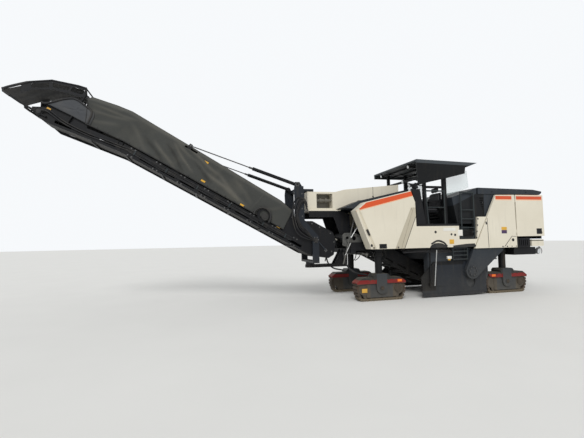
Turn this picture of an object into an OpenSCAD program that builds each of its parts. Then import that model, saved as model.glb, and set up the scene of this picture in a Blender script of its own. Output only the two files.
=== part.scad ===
// Cold planer milling machine with a front discharge conveyor.
// Millimetres, X forward, Y to the left, Z up from the ground.
// Inside the modules X is counted from the middle of the front tracks.

/* [Machine] */
// Distance between the front and rear track centres
wheelbase = 3976; // [3700:1:4200]
// Distance between the left and right track centres
track_gauge = 1834; // [1780:1:1860]
// Width over the side panels
machine_w = 2500; // [2450:1:2560]
// Underside of the side panels above the ground
body_z = 1350; // [1320:1:1400]
// Rear end of the body behind the rear track centre
rear_overhang = 1244; // [1200:1:1350]

/* [Tracks] */
// Length of a track over its shoes
track_len = 1420; // [1300:1:1480]
// Height of a track over its shoes
track_h = 550; // [520:1:580]
// Width of a shoe
shoe_w = 260; // [220:1:300]
// Number of shoes round a track
shoe_count = 38; // [30:1:44]
// Height of a shoe above its chain
shoe_h = 30; // [20:1:36]
// Depth of the chain under the shoes
chain_t = 40; // [30:1:50]
// Radius over the shoes at the sprocket and the idler
wheel_r = 235; // [220:1:250]
// Radius over the shoes at the outer ground rollers
ground_r = 120; // [110:1:150]
// Thickness of the track frame between the chain links
frame_w = 120; // [90:1:140]

/* [Legs] */
// Diameter of the sliding leg
leg_d = 190; // [160:1:200]
// Outer diameter of the leg's guide tube
guide_d = 235; // [220:1:250]
// Lower end of the guide tube
guide_z = 1285; // [1270:1:1300]
// Running clearance of a leg in its guide, on the radius
leg_fit = 0.05; // [0.02:0.01:0.1]
// Length of a steering arm from leg axis to tie rod pin
arm_len = 330; // [300:1:340]
// Height of the tie rods
tie_z = 1205; // [1195:1:1215]
// Diameter of a tie rod
tie_d = 50; // [40:1:55]

/* [Milling drum] */
// Cutting diameter over the pick tips
drum_d = 1020; // [960:1:1040]
// Cutting width
drum_w = 2000; // [1900:1:2010]
// Drum axis ahead of the rear track centre
drum_ahead = 1256; // [1240:1:1300]
// Height of the drum axis above the ground
drum_z = 670; // [640:1:690]
// Diameter of the drum's tube
drum_body_d = 760; // [700:1:800]
// Picks along one helix
pick_count = 14; // [10:1:18]
// Helices on each half
pick_starts = 3; // [2:1:4]

/* [Drum housing] */
// Wall thickness of the housing
housing_t = 25; // [15:1:35]
// Gap from the pick tips to the housing
drum_gap = 70; // [50:1:90]
// Gap from the drum's end to the housing wall
drum_end_gap = 50; // [30:1:60]
// Thickness of a side plate
side_plate_t = 30; // [20:1:40]
// Lift of a side plate above its rest height
side_plate_lift = 300; // [200:1:330]

/* [Primary conveyor] */
// Slope of the primary conveyor
primary_rake = 27; // [26:0.5:27.5]
// Width over its frame
primary_w = 900; // [820:1:940]
// Depth of its frame
primary_h = 420; // [380:1:440]
// Its lower end behind the front track centre
primary_x = 1900; // [1880:1:1920]
// Its lower end above the ground
primary_z = 225; // [215:1:235]
// Its length along the slope
primary_len = 3090; // [3000:1:3120]

/* [Discharge conveyor] */
// Slewing axis ahead of the front track centre
slew_x = 1620; // [1600:1:1650]
// Height of the luffing pivot
luff_z = 1620; // [1600:1:1640]
// Slope of the conveyor as it stands
rake = 29; // [27:0.5:30]
// From the luffing pivot to the bend of the frame
bend_u = 5290; // [5000:1:5400]
// From the bend to the head drum
head_u = 2330; // [2200:1:2400]
// Angle at the bend
bend_a = 7.5; // [5:0.5:9]
// Width over the conveyor's frame
conv_w = 1000; // [940:1:1010]
// Depth of the frame's side rails
rail_h = 230; // [200:1:260]
// Underside of the frame below the pivot
conv_low = 430; // [400:1:450]
// Radius over the belt at the head and tail drums
belt_r = 105; // [95:1:115]
// Thickness of the belt
belt_t = 12; // [10:1:18]

/* [Slewing mast] */
// Half distance between the inner faces of the mast's plates
mast_half = 525; // [518:1:540]
// Thickness of a mast plate
mast_t = 45; // [30:1:55]
// Mast head ahead of the slewing axis
mast_dx = 480; // [450:1:500]
// Height of the mast head
mast_z = 3100; // [3050:1:3150]
// Stay anchor along the conveyor
anchor_u = 3967; // [3900:1:4000]
// Stay anchor above the conveyor's axis
anchor_w = 556; // [540:1:570]
// Diameter of a luffing cylinder
luff_d = 90; // [80:1:100]
// Length of a luffing cylinder
luff_len = 1240; // [1150:1:1280]

/* [Body] */
// Height of the operator's floor
deck_z = 1990; // [1950:1:2050]
// Front wall of the operator's stand behind the front track centre
deck_front = 980; // [960:1:1000]
// Floor's rear edge ahead of the rear track centre
deck_rear_ahead = 1656; // [1640:1:1680]
// Thickness of a side panel
panel_t = 60; // [40:1:70]
// Top of the rear panels
panel_top = 2810; // [2780:1:2840]
// Rear panel's joint with the door behind the rear track centre
seam_back = 240; // [220:1:260]
// Thickness of a door
door_t = 40; // [30:1:50]
// Thickness of the engine hood's walls
hood_t = 40; // [25:1:50]
// Crest of the engine hood
hood_z = 3000; // [2980:1:3040]
// Thickness of the floor
floor_t = 60; // [40:1:70]

/* [Canopy] */
// Height of the roof's front edge
roof_z = 3745; // [3700:1:3800]
// Half width of the roof
roof_half = 1230; // [1180:1:1250]
// Thickness of the roof shell
roof_t = 45; // [30:1:60]

/* [Hidden] */
$fn = 48;

skin = 0.3;
half_w = machine_w / 2;
rear_x = -wheelbase - rear_overhang;
drum_x = wheelbase - drum_ahead;
housing_half = drum_w / 2 + drum_end_gap + housing_t;
deck_rear = wheelbase - deck_rear_ahead;
seam_x = -wheelbase - seam_back;
tip_x = 8890;
tow_reach = 130;
tow_d = 50;
pivot_d = 120;
pivot_fit = 0.05;
origin_x = (tip_x + rear_x - tow_reach) / 2;

// Boxes and profiles by their corners
module box(x, y, z) {
    translate([x[0], y[0], z[0]]) cube([x[1] - x[0], y[1] - y[0], z[1] - z[0]]);
}

// A side view outline, x against z, spread from y[0] to y[1]
module slab(outline, y) {
    translate([0, y[1], 0]) rotate([90, 0, 0]) linear_extrude(y[1] - y[0]) polygon(outline);
}

module both_sides() {
    children();
    mirror([0, 1, 0]) children();
}

// A round bar between two points
module bar(a, b, d) {
    v = b - a;
    len = norm(v);
    translate(a) rotate([0, acos(v[2] / len), atan2(v[1], v[0])]) cylinder(h = len, d = d);
}

// A round tube through a list of points, with slightly larger balls in its corners
ball_rise = 1.08;
module tube(points, d) {
    for (i = [0 : len(points) - 2]) bar(points[i], points[i + 1], d);
    for (i = [1 : 1 : len(points) - 2]) translate(points[i]) sphere(d = d * ball_rise, $fn = 20);
}

module placed() {
    translate([-origin_x, 0, 0]) children();
}

// X counted from the rear track centre
module at_rear() {
    translate([-origin_x - wheelbase, 0, 0]) children();
}

// X counted from the drum's axis
module at_drum() {
    translate([-origin_x - drum_x, 0, 0]) children();
}

// Chassis

frame_top = body_z + 180;
frame_rear = rear_x + 60;
low_rear = rear_x + 300;
low_z = [1080, 1290];
frame_low = body_z - 40;
frame_wall = 120;
frame_y = track_gauge / 2 - frame_wall - 177;
cross_x = [560, 700];
cross_z = [1240, 1360];
bracket_z = [855, 935];
lashing_d = 70;
lashing_t = 40;

module main_frame() color([0.13, 0.13, 0.14]) placed() {
    both_sides() {
        box([frame_rear, cross_x[1]], [frame_y, frame_y + frame_wall], [frame_low, frame_top]);
        for (x = [0, -wheelbase])
            difference() {
                box([x - 170, x + 170], [frame_y + frame_wall, track_gauge / 2 + 180],
                    [body_z - 30, frame_top]);
                translate([x, track_gauge / 2, 0]) cylinder(h = 3000, d = guide_d);
            }
        box(cross_x, [frame_y, frame_y + frame_wall], [cross_z[0], frame_low]);
        box([low_rear, -wheelbase - 180], [frame_y, half_w - 60], low_z);
        box([low_rear, -wheelbase - 180], [frame_y, frame_y + frame_wall], [low_z[0], frame_low]);
        lashing_eye(low_rear - 70, 1120, 1165, 1);
        lashing_eye(cross_x[1] + 60, frame_y + 60, 1300, -1);
    }
    box(cross_x, [-frame_y, frame_y], cross_z);
    box([-deck_rear - 60, -deck_rear + 40], [-frame_y, frame_y], [body_z, frame_top]);
    difference() {
        box([frame_rear, frame_rear + 140], [-frame_y, frame_y], [1090, frame_top]);
        box([rear_x, frame_rear + 300], [-380, 380], [1250, frame_low + 80]);
    }
    tow_hitch();
    difference() {
        union() {
            box([cross_x[0], slew_x], [-140, 140], bracket_z);
            translate([slew_x, 0, bracket_z[0]]) cylinder(h = bracket_z[1] - bracket_z[0], d = 280);
            box(cross_x, [-140, 140], [bracket_z[0], cross_z[0]]);
            both_sides() slab([[cross_x[1], bracket_z[1]], [cross_x[1] + 240, bracket_z[1]],
                               [cross_x[1], cross_z[1]]], [100, 125]);
        }
        translate([slew_x, 0, 800]) cylinder(h = 300, d = pivot_d);
    }
}

// A lashing eye with its bore at (x, y, z), welded to the beam on the side that dir points to
module lashing_eye(x, y, z, dir) difference() {
    union() {
        box([min(x, x + dir * 70), max(x, x + dir * 70)], [y - lashing_t / 2, y + lashing_t / 2],
            [z - 60, z + 60]);
        translate([x, y + lashing_t / 2, z]) rotate([90, 0, 0]) cylinder(h = lashing_t, r = 60);
    }
    translate([x, y + lashing_t, z]) rotate([90, 0, 0]) cylinder(h = 2 * lashing_t, d = lashing_d);
}

// Two ears behind the rear beam for a towing pin
module tow_hitch() difference() {
    both_sides() box([rear_x - tow_reach, frame_rear], [30, 70], [1100, 1240]);
    translate([rear_x - tow_reach + 60, 100, 1170]) rotate([90, 0, 0]) cylinder(h = 200, d = tow_d);
}

// Plates that carry the front of the frame's beams up to the feed chute
nose_x = 900;
module nose_brackets() color([0.3, 0.3, 0.3]) placed() both_sides() {
    difference() {
        slab([[130, frame_top + skin], [180, frame_top + 90], [560, 1790], [nose_x - 60, 1790],
              [nose_x, 1730], [nose_x, 1460], [cross_x[1] + skin, 1390],
              [cross_x[1] + skin, frame_top + skin]],
             [frame_y + 20, frame_y + 60]);
        translate([nose_x - 130, frame_y + 100, 1650]) rotate([90, 0, 0]) cylinder(h = 200, d = 90);
        translate([nose_x - 330, frame_y + 100, 1640]) rotate([90, 0, 0]) cylinder(h = 200, d = 120);
    }
    bar([540, frame_y + 110, 2300], [920, frame_y + 110, 960], 34);
    box([700, 790], [frame_y + 59, frame_y + 112], [1545, 1625]);
}

// Guides of the legs, and the barrels of the cylinders that lift the side plates
plate_rod_d = 36;
plate_rod_x = 1290;
plate_rod_y = housing_half + skin + side_plate_t + 22;
plate_barrel_z = 1300;
plate_barrel_len = 590;
module leg_guides() color([0.1, 0.1, 0.11]) {
    placed() both_sides() for (x = [0, -wheelbase])
        translate([x, track_gauge / 2, guide_z]) difference() {
            union() {
                cylinder(h = frame_top + 60 - guide_z, d = guide_d);
                cylinder(h = 30, d = guide_d + 40);
            }
            translate([0, 0, -1]) cylinder(h = frame_top - guide_z, d = leg_d + 2 * leg_fit);
        }
    at_drum() both_sides() {
        translate([plate_rod_x, plate_rod_y, plate_barrel_z]) difference() {
            cylinder(h = plate_barrel_len, d = 80);
            translate([0, 0, -1]) cylinder(h = plate_barrel_len - 30, d = plate_rod_d + 2 * leg_fit);
        }
        box([plate_rod_x - 40, plate_rod_x + 40], [frame_y + frame_wall + skin, plate_rod_y - 30],
            [frame_low + 60, frame_low + 160]);
    }
}

drum_ri = drum_d / 2 + drum_gap;
hub_d = 240;

module drum_housing() color([0.2, 0.21, 0.23]) at_drum() {
    difference() {
        slab([[1330, 380], [1330, frame_low], [-610, frame_low], [-610, 560], [-570, 440], [-480, 290],
              [-300, 150], [0, 150], [1250, 230]], [-housing_half, housing_half]);
        translate([0, housing_half - housing_t, drum_z]) rotate([90, 0, 0])
            cylinder(h = 2 * (housing_half - housing_t), r = drum_ri);
        box([-250, drum_ri], [-housing_half + housing_t, housing_half - housing_t], [0, drum_z]);
        box([900, 2000], [-housing_half + 180, housing_half - 180], [0, 3000]);
        box([0, 2000], [-primary_w / 2 - 15, primary_w / 2 + 15], [0, 980]);
        both_sides() {
            translate([0, housing_half + 1, drum_z]) rotate([90, 0, 0])
                cylinder(h = housing_t + 2, d = hub_d + 0.1);
            box([960, 1270], [housing_half - 155, housing_half - housing_t], [430, frame_low - 40]);
        }
    }
}

case_y = housing_half + skin + side_plate_t + 8;
case_t = 90;

module belt_case() color([0.2, 0.22, 0.25]) at_drum() {
    hull() {
        translate([0, case_y + case_t, drum_z]) rotate([90, 0, 0]) cylinder(h = case_t, d = 420);
        box([-1050, -60], [case_y, case_y + case_t], [body_z - 120, body_z - 60]);
    }
    translate([0, case_y + case_t + 14, drum_z]) rotate([90, 0, 0]) cylinder(h = 20, d = 300);
    box([-980, -610 - skin], [frame_y + frame_wall + skin, case_y + case_t - 20], [body_z - 61, body_z - 10]);
}

module on_primary() {
    translate([-primary_x, 0, primary_z]) rotate([0, -primary_rake, 0]) children();
}

primary_rail = 30;
module primary_conveyor() color([0.14, 0.14, 0.15]) placed() {
    on_primary() {
        both_sides() difference() {
            box([0, primary_len], [primary_w / 2 - primary_rail, primary_w / 2], [0, primary_h]);
            for (u = [500 : 450 : primary_len - 300])
                box([u, u + 300], [0, primary_w], [60, 120]);
        }
        for (u = [350 : 450 : primary_len - 200])
            box([u, u + 60], [-primary_w / 2 + primary_rail, primary_w / 2 - primary_rail], [0, 60]);
        for (w = [90, 250]) box([130, primary_len - 130],
                                [-primary_w / 2 + 55, primary_w / 2 - 55], [w, w + 15]);
        for (u = [130, primary_len - 130])
            translate([u, primary_w / 2 - primary_rail, 177]) rotate([90, 0, 0])
                cylinder(h = primary_w - 2 * primary_rail, d = 172);
    }
    both_sides() box([cross_x[0] + 40, cross_x[0] + 100], [primary_w / 2 - 60, primary_w / 2],
                     [cross_z[1], cross_z[1] + 170]);
}

duct_half = 400;
duct_low = 2400;
duct_front = slew_x + 160;

module feed_skirt() color([0.12, 0.12, 0.12]) placed() both_sides()
    slab([[duct_front - 20, duct_low], [860, duct_low], [600, 2300], [600, 1700], [900, 1760],
          [1060, 2230], [duct_front - 20, 2230]], [primary_w / 2, primary_w / 2 + 30]);

module suction_duct() color([0.85, 0.82, 0.74]) placed() {
    difference() {
        slab([[-deck_front, 3170], [710, 3000], [980, 2930], [duct_front, 2930],
              [duct_front, duct_low], [860, duct_low], [300, 2700], [-deck_front, 2800]],
             [-duct_half, duct_half]);
        both_sides() slab([[1060, 2880], [slew_x - 100, 2880], [slew_x - 100, 2480], [1060, 2480]],
                          [150, duct_half + 1]);
        translate([slew_x, 0, 2800]) cylinder(h = 200, d = pivot_d);
    }
    both_sides() {
        slab([[duct_front, duct_low], [860, duct_low], [860, duct_low + 30], [duct_front, duct_low + 30]],
             [duct_half - 1, primary_w / 2 + 30]);
        bar([1059, 300, 2700], [slew_x - 99, 300, 2700], 90);
        bar([1200, 300, 2700], [1260, 300, 2700], 140);
        bar([slew_x - 260, 300, 2700], [slew_x - 200, 300, 2700], 130);
    }
}

// The front panels stand out from the hood's cover; a slanted groove runs up to their rear edge
panel_in = half_w - 330;
module front_panels() color([0.85, 0.82, 0.74]) placed() both_sides() difference() {
    slab([[750, 2350], [470, 2570], [-840, 2880], [-960, 2570], [-510, body_z], [350, body_z]],
         [panel_in, half_w]);
    slab([[630, 2300], [430, 2500], [-800, 2800], [-880, 2570], [-450, body_z - 1], [300, body_z - 1]],
         [panel_in - 1, half_w - panel_t]);
    slab([[-830, 2430], [-960, 2190], [-600, body_z - 1], [-330, body_z - 1]],
         [half_w - 14, half_w + 1]);
    hull() for (p = [[450, 1860], [385, 1710]])
        translate([p[0], half_w + 1, p[1]]) rotate([90, 0, 0]) cylinder(h = 26, d = 50, $fn = 24);
    translate([335, half_w + 1, body_z + 95]) rotate([90, 0, 0]) cylinder(h = 26, d = 80);
    translate([750, half_w, 2350]) rotate([0, 23, 0]) rotate([0, 0, 28])
        translate([-100, 0, -2000]) cube([600, 300, 4000]);
}

module hood_cover() color([0.2, 0.2, 0.22]) placed() both_sides() difference() {
    slab([[960, 2450], [470, 2640], [-deck_front, 2965], [-deck_front, 2700], [300, duct_low]],
         [duct_half, panel_in]);
    slab([[800, 2430], [400, 2590], [-deck_front + 60, 2890], [-deck_front + 60, 2640], [250, 2350]],
         [duct_half + hood_t, panel_in - hood_t]);
}

wall_top = 2900;
module platform() color([0.15, 0.15, 0.16]) placed() {
    box([-deck_rear, -deck_front], [-half_w + 20, half_w - 20], [deck_z - floor_t, deck_z]);
    difference() {
        box([-deck_front - 20, -deck_front], [-half_w + 80, half_w - 80], [frame_top, wall_top]);
        box([-deck_front - 100, 0], [-primary_w / 2, primary_w / 2], [frame_top, deck_z - floor_t - 60]);
    }
    both_sides() for (x = [-deck_front - 200, -deck_rear + 40])
        box([x - 60, x + 60], [frame_y, frame_y + frame_wall], [frame_top, deck_z - floor_t + 1]);
}

// Ladders up to the operator's floor, and the steps below them
ladder_y = half_w - 38;
module ladders() color([0.12, 0.12, 0.13]) both_sides() {
    placed() {
        tube([[-deck_rear - 90, ladder_y, 1620], [-deck_rear - 90, ladder_y, 2860],
              [-deck_rear - 510, ladder_y, 2860], [-deck_rear - 510, ladder_y, 1620]], 38);
        for (z = [1640, 1760, 1880, 2120, 2370])
            bar([-deck_rear - 90, ladder_y, z], [-deck_rear - 510, ladder_y, z], 30);
        difference() {
            box([-deck_rear - 495, -deck_rear - 20], [half_w - 260, ladder_y], [1570, 1620]);
            box([-deck_rear - 455, -deck_rear - 60], [half_w - 200, ladder_y - 40], [1500, 1700]);
        }
        box([-deck_rear - 495, -deck_rear - 20], [half_w - 260, half_w - 240], [1570, deck_z - floor_t]);
        box([-deck_rear - 40, -deck_rear - skin], [half_w - 260, half_w - 90], [1570, deck_z]);
    }
    at_drum() {
        box([130, 610], [frame_y + frame_wall + skin, half_w - 60], [frame_low, frame_low + 30]);
        for (x = [130, 590]) box([x, x + 20], [case_y, half_w - 60], [990, frame_low + 1]);
        for (z = [1000, 1110, 1220]) box([149, 591], [case_y, half_w - 60], [z, z + 25]);
    }
}

module side_panels() color([0.85, 0.82, 0.74]) placed() both_sides() difference() {
    slab([[-516, body_z], [-966, 2570], [-deck_front + skin, deck_z - floor_t - skin],
          [-deck_rear + 20, deck_z - floor_t - skin], [-deck_rear + 20, 1560], [-deck_rear - 560, 1560],
          [-deck_rear - 600, 2180], [-wheelbase + 760, 2180], [-wheelbase + 1192, body_z]],
         [half_w - 80, half_w - 10]);
    slab([[-600, body_z - 1], [-750, 1870], [-deck_rear + 100, 1870], [-deck_rear + 100, body_z - 1]],
         [half_w - 81, half_w - 70]);
}

seam_gap = 10;
module rear_panels() color([0.85, 0.82, 0.74]) at_rear() both_sides() {
    slab([[1186, 1300], [426, panel_top - 10], [-seam_back + 20, panel_top], [-seam_back, 1300]],
         [half_w - panel_t, half_w]);
    for (z = [1650, 2600])
        box([-seam_back + 60, 400], [half_w - 90, half_w - panel_t + 1], [z, z + 60]);
    slab([[40, 1300], [-seam_back + 1, 1300], [-seam_back + 1, 1600], [-60, 1570]],
         [half_w - 1, half_w + 6]);
    for (z = door_hinges) hinge_post(z);
}

// A door's hinge: the pin stands on the rear panel, and the door's eye turns round it
hinge_pin = 14;
hinge_d = 26;
door_hinges = [1760, 2640];
hinge_x = -seam_back - 8;
hinge_y = half_w - 4;
module hinge_post(z) {
    translate([hinge_x, hinge_y, z - 45]) cylinder(h = 90, d = hinge_pin);
    for (c = [z - 45, z + 25]) {
        translate([hinge_x, hinge_y, c]) cylinder(h = 20, d = hinge_d);
        box([hinge_x, -seam_back + 30], [hinge_y - 11, hinge_y + 2], [c, c + 20]);
    }
}

module rear_grille() color([0.16, 0.16, 0.17]) at_rear() difference() {
    box([-rear_overhang + 60, -rear_overhang + 120], [-half_w + door_t + 6, half_w - door_t - 6],
        [frame_top, panel_top - 5]);
    for (z = [frame_top + 150 : 90 : panel_top - 150]) for (y = [-1090, -340, 410])
        box([-rear_overhang, -rear_overhang + 200], [y, y + 680], [z, z + 45]);
}

module hood_shell() difference() {
    slab([[deck_rear_ahead, deck_z], [1806, 2730], [986, hood_z], [986, hood_z - 175],
          [-seam_back + 20, panel_top + 10], [-seam_back + 20, frame_top], [1160, frame_top],
          [1160, deck_z]], [-half_w + 90, half_w - 90]);
    slab([[1610, deck_z + hood_t], [1755, 2705], [1020, 2945], [1020, 2700], [1120, frame_top - 1],
          [1120, deck_z + hood_t]], [-half_w + 90 + hood_t, half_w - 90 - hood_t]);
    box([-seam_back, 1120], [-half_w + 90 + hood_t, half_w - 90 - hood_t], [frame_top - 1, 2700]);
    box([-seam_back, 946], [-half_w + 90 + hood_t, half_w - 90 - hood_t], [2699, hood_z]);
    both_sides() for (z = [2220 : 60 : 2740])
        box([760, 1060], [half_w - 200, half_w - 80], [z, z + 30]);
    for (z = [2160 : 90 : 2560])
        box([1500, 2000], [-420, 420], [z, z + 45]);
    lid_notch(0);
}

// The lid's hinge: the pin stands on the hood, and the lid's eyes turn round it
lid_pin = 14;
lid_hinge_x = 971;
lid_hinge_z = hood_z - 10;
module lid_notch(grow) both_sides()
    translate([lid_hinge_x, 640, lid_hinge_z]) rotate([90, 0, 0]) cylinder(h = 160 + grow, d = 40);

module hood_hinges() both_sides() {
    translate([lid_hinge_x, 638, lid_hinge_z]) rotate([90, 0, 0]) cylinder(h = 156, d = lid_pin);
    for (y = [608, 482]) {
        translate([lid_hinge_x, y + 30, lid_hinge_z]) rotate([90, 0, 0]) cylinder(h = 30, d = 30);
        box([lid_hinge_x, lid_hinge_x + 25], [y, y + 30], [lid_hinge_z - 10, lid_hinge_z + 8]);
    }
}

module engine_hood() color([0.2, 0.21, 0.23]) at_rear() {
    hood_shell();
    hood_hinges();
}

module engine() color([0.3, 0.3, 0.32]) at_rear() {
    box([-724, 976], [-500, 500], [frame_top, 2500]);
    both_sides() for (x = [-600, 700]) box([x, x + 150], [499, frame_y + 60], [frame_top, frame_top + 80]);
}

rail_d = 40;
module guard_rails() color([0.12, 0.12, 0.13]) placed() both_sides() {
    tube([[-deck_front - 400, half_w - 50, deck_z + 2], [-deck_front - 340, half_w - 50, 2890],
          [-deck_rear + 420, half_w - 50, 2890], [-deck_rear + 420, half_w - 50, deck_z + skin]], rail_d);
    bar([-deck_front - 375, half_w - 50, 2440], [-deck_rear + 420, half_w - 50, 2440], 30);
}

seat_x = -deck_rear + 300;
module seats() color([0.1, 0.1, 0.11]) placed() both_sides() {
    box([seat_x + 90, seat_x + 560], [420, 920], [2330, 2450]);
    slab([[seat_x + 130, 2400], [seat_x + 90, 3050], [seat_x + 20, 3050], [seat_x, 2400]], [440, 900]);
    for (y = [400, 890]) box([seat_x + 60, seat_x + 420], [y, y + 50], [2640, 2690]);
    for (y = [400, 890]) box([seat_x + 60, seat_x + 100], [y, y + 50], [2440, 2641]);
    translate([seat_x + 320, 670, deck_z]) cylinder(h = 2331 - deck_z, d = 160);
    translate([seat_x + 320, 670, deck_z]) cylinder(h = 30, d = 320);
}

module consoles() color([0.12, 0.12, 0.13]) placed() both_sides() {
    slab([[-deck_front - 20, deck_z], [-deck_front - 20, 2930], [-deck_front - 140, 2930],
          [-deck_front - 290, deck_z]], [half_w - 300, half_w - 60]);
    slab([[-deck_front - 40, deck_z + 300], [-deck_front - 40, 2930], [-deck_front + 115, 2930],
          [-deck_front + 10, 2580], [-deck_front - 15, deck_z + 300]], [half_w - 59, half_w - 5]);
    slab([[-deck_front - 20, deck_z], [-deck_front - 20, 2930], [-deck_front - 140, 2930],
          [-deck_front - 290, deck_z]], [half_w - 61, half_w - 5]);
    translate([-deck_front - 90, half_w - 180, 2929]) cylinder(h = 60, d = 90);
    slab([[-deck_front - 60, 2960], [-deck_front - 40, 3060], [-deck_front - 120, 3060],
          [-deck_front - 150, 2960]], [half_w - 250, half_w - 110]);
}

roof_front = [-1060, roof_z];
roof_rear = [-3000, roof_z - 40];
roof_beam = -2620;
// Underside of the roof's shell above x
function roof_under(x) =
    roof_z - roof_t + (roof_rear[1] - roof_z) * (x - roof_front[0]) / (roof_rear[0] - roof_front[0]);

post_y = [930, 1010];
module canopy_post(x, t) slab([[x, deck_z], [x, roof_under(x) - skin],
                               [x + t, roof_under(x + t) - skin], [x + t, deck_z]], post_y);

module canopy_posts() color([0.1, 0.1, 0.11]) placed() {
    both_sides() {
        canopy_post(-deck_rear + 840, 80);
        canopy_post(-deck_rear + 190, 110);
        slab([[-deck_rear + 191, 3060], [-deck_rear + 840, 3060], [-deck_rear + 840, 3000],
              [-deck_rear + 191, 3000]], [post_y[0] + 10, post_y[1] - 10]);
    }
    for (x = [-deck_rear + 200, -deck_rear + 850])
        box([x, x + 60], [-post_y[0] - 1, post_y[0] + 1], [3300, 3360]);
}

// The roof has a deep panel down its left side, a low lip on its right and a beam across its back
module canopy_roof() color([0.12, 0.12, 0.13]) placed() difference() {
    slab([roof_front, roof_rear, [roof_beam + 20, roof_z - 185], [roof_beam + 50, roof_z - 355],
          [-1930, roof_z - 508], [roof_front[0] - 40, roof_z - 685]], [-roof_half, roof_half]);
    slab([[roof_front[0] + 60, 2900], [roof_front[0] + 60, roof_under(roof_front[0] + 60)],
          [roof_beam, roof_under(roof_beam)], [roof_beam, 2900]],
         [-roof_half + roof_t, roof_half - roof_t]);
    box([roof_beam - 180, roof_front[0] + 60], [-roof_half - 1, -roof_half + roof_t], [2900, roof_z - 145]);
}

module canopy_glass() color([0.7, 0.8, 0.85, 0.4]) placed() both_sides()
    slab([[-deck_rear + 190, 2790], [-deck_rear + 190, 3440], [-deck_rear - 520, 3520],
          [-deck_rear - 560, 3030]], [post_y[1] - 30, post_y[1] - 20]);

module rear_bumper() color([0.85, 0.82, 0.74]) at_rear() {
    both_sides() hull() {
        box([-rear_overhang + 40, -rear_overhang + 470], [frame_y + frame_wall, half_w - 5], [1320, 1510]);
        box([-rear_overhang, -rear_overhang + 430], [frame_y + frame_wall, half_w - 60], [1350, 1480]);
    }
    box([-rear_overhang, -rear_overhang + 60], [-frame_y - frame_wall - 20, frame_y + frame_wall + 20],
        [1350, 1480]);
}

module battery_box() color([0.12, 0.12, 0.13]) at_rear() both_sides() difference() {
    box([-rear_overhang + 520, -seam_back - 30], [half_w - 400, half_w - 20], [low_z[1], 1560]);
    for (x = [-rear_overhang + 600 : 70 : -seam_back - 100])
        box([x, x + 30], [half_w - 40, half_w], [1340, 1510]);
}

module hood_lid() color([0.2, 0.21, 0.23]) at_rear() {
    difference() {
        slab([[956, panel_top + 20], [956, hood_z + 10], [-rear_overhang + 260, hood_z - 20],
              [-rear_overhang - 50, hood_z - 70], [-rear_overhang - 50, hood_z - 110],
              [-rear_overhang + 30, panel_top + 20]], [-half_w + 70, half_w - 70]);
        slab([[956 - hood_t, panel_top], [956 - hood_t, hood_z + 10 - hood_t],
              [-rear_overhang + 240, hood_z - 20 - hood_t], [-rear_overhang + 60, hood_z - 40 - hood_t],
              [-rear_overhang + 60, panel_top]], [-half_w + 70 + hood_t, half_w - 70 - hood_t]);
        lid_notch(10);
    }
    both_sides() difference() {
        union() {
            translate([lid_hinge_x, 606, lid_hinge_z]) rotate([90, 0, 0]) cylinder(h = 92, d = 30);
            box([930, lid_hinge_x], [514, 606], [lid_hinge_z - 15, lid_hinge_z + 5]);
        }
        translate([lid_hinge_x, 640, lid_hinge_z]) rotate([90, 0, 0]) cylinder(h = 200, d = lid_pin + 0.1);
    }
}

module rear_door() color([0.85, 0.82, 0.74]) at_rear() {
    difference() {
        box([-rear_overhang, -seam_back - seam_gap - 12], [half_w - door_t, half_w], [1610, panel_top]);
        translate([-rear_overhang + 100, half_w + 1, 1700]) rotate([90, 0, 0]) cylinder(h = 20, d = 70);
        for (z = door_hinges) translate([hinge_x, hinge_y, z - 55]) cylinder(h = 110, d = hinge_d + 12);
    }
    for (z = door_hinges) difference() {
        union() {
            translate([hinge_x, hinge_y, z - 23]) cylinder(h = 46, d = hinge_d);
            box([hinge_x - 40, hinge_x], [hinge_y - 11, hinge_y + 2], [z - 23, z + 23]);
        }
        translate([hinge_x, hinge_y, z - 30]) cylinder(h = 60, d = hinge_pin + 0.1);
    }
}
module rear_door_left() rear_door();
module rear_door_right() mirror([0, 1, 0]) rear_door();

// Milling drum

// The pick leans 60 degrees back, so that its tip reaches the cutting circle
pick_len = 170;

module pick(a, y) {
    translate([0, y, 0]) rotate([0, a, 0]) translate([drum_body_d / 2 - 20, 0, 0]) rotate([0, 60, 0]) hull() {
        cylinder(h = 60, d = 80, $fn = 6);
        cylinder(h = pick_len, d = 16, $fn = 6);
    }
}

module milling_drum() color([0.3, 0.24, 0.2]) placed() translate([-drum_x, 0, drum_z]) {
    rotate([90, 0, 0]) cylinder(h = drum_w - 60, d = drum_body_d, center = true);
    translate([0, case_y - skin, 0]) rotate([90, 0, 0])
        cylinder(h = case_y - skin + housing_half, d = hub_d);
    both_sides() for (s = [0 : pick_starts - 1]) for (i = [0 : pick_count - 1])
        pick(s * 360 / pick_starts + i * 26, 40 + i * (drum_w / 2 - 90) / (pick_count - 1));
}

module side_plate(slot) color([0.2, 0.21, 0.23]) at_drum() translate([0, housing_half + skin, 0]) {
    difference() {
        slab([[1570, 550], [1160, 960], [-565, 960], [-565, 640], [-510, 590], [-510, 110],
              [-40, 60], [1520, 60]], [0, side_plate_t]);
        if (slot) hull() for (z = [0, side_plate_lift])
            translate([0, side_plate_t + 1, drum_z - z]) rotate([90, 0, 0])
                cylinder(h = side_plate_t + 2, d = hub_d + 40);
    }
    slab([[850, 300], [850, 940], [1180, 940], [1280, 840], [1280, 300]],
         [side_plate_t - 1, side_plate_t + 22]);
    box([plate_rod_x - 40, plate_rod_x + 40], [side_plate_t - 1, side_plate_t + 50], [300, 400]);
    translate([plate_rod_x, side_plate_t + 22, 350]) cylinder(h = plate_barrel_z - 100, d = plate_rod_d);
    slab([[1560, 60], [1570, 30], [-100, 30], [-515, 76], [-515, 126], [-100, 90], [1520, 90]],
         [side_plate_t - 1, side_plate_t + 12]);
}
module side_plate_left() side_plate(true);
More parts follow.
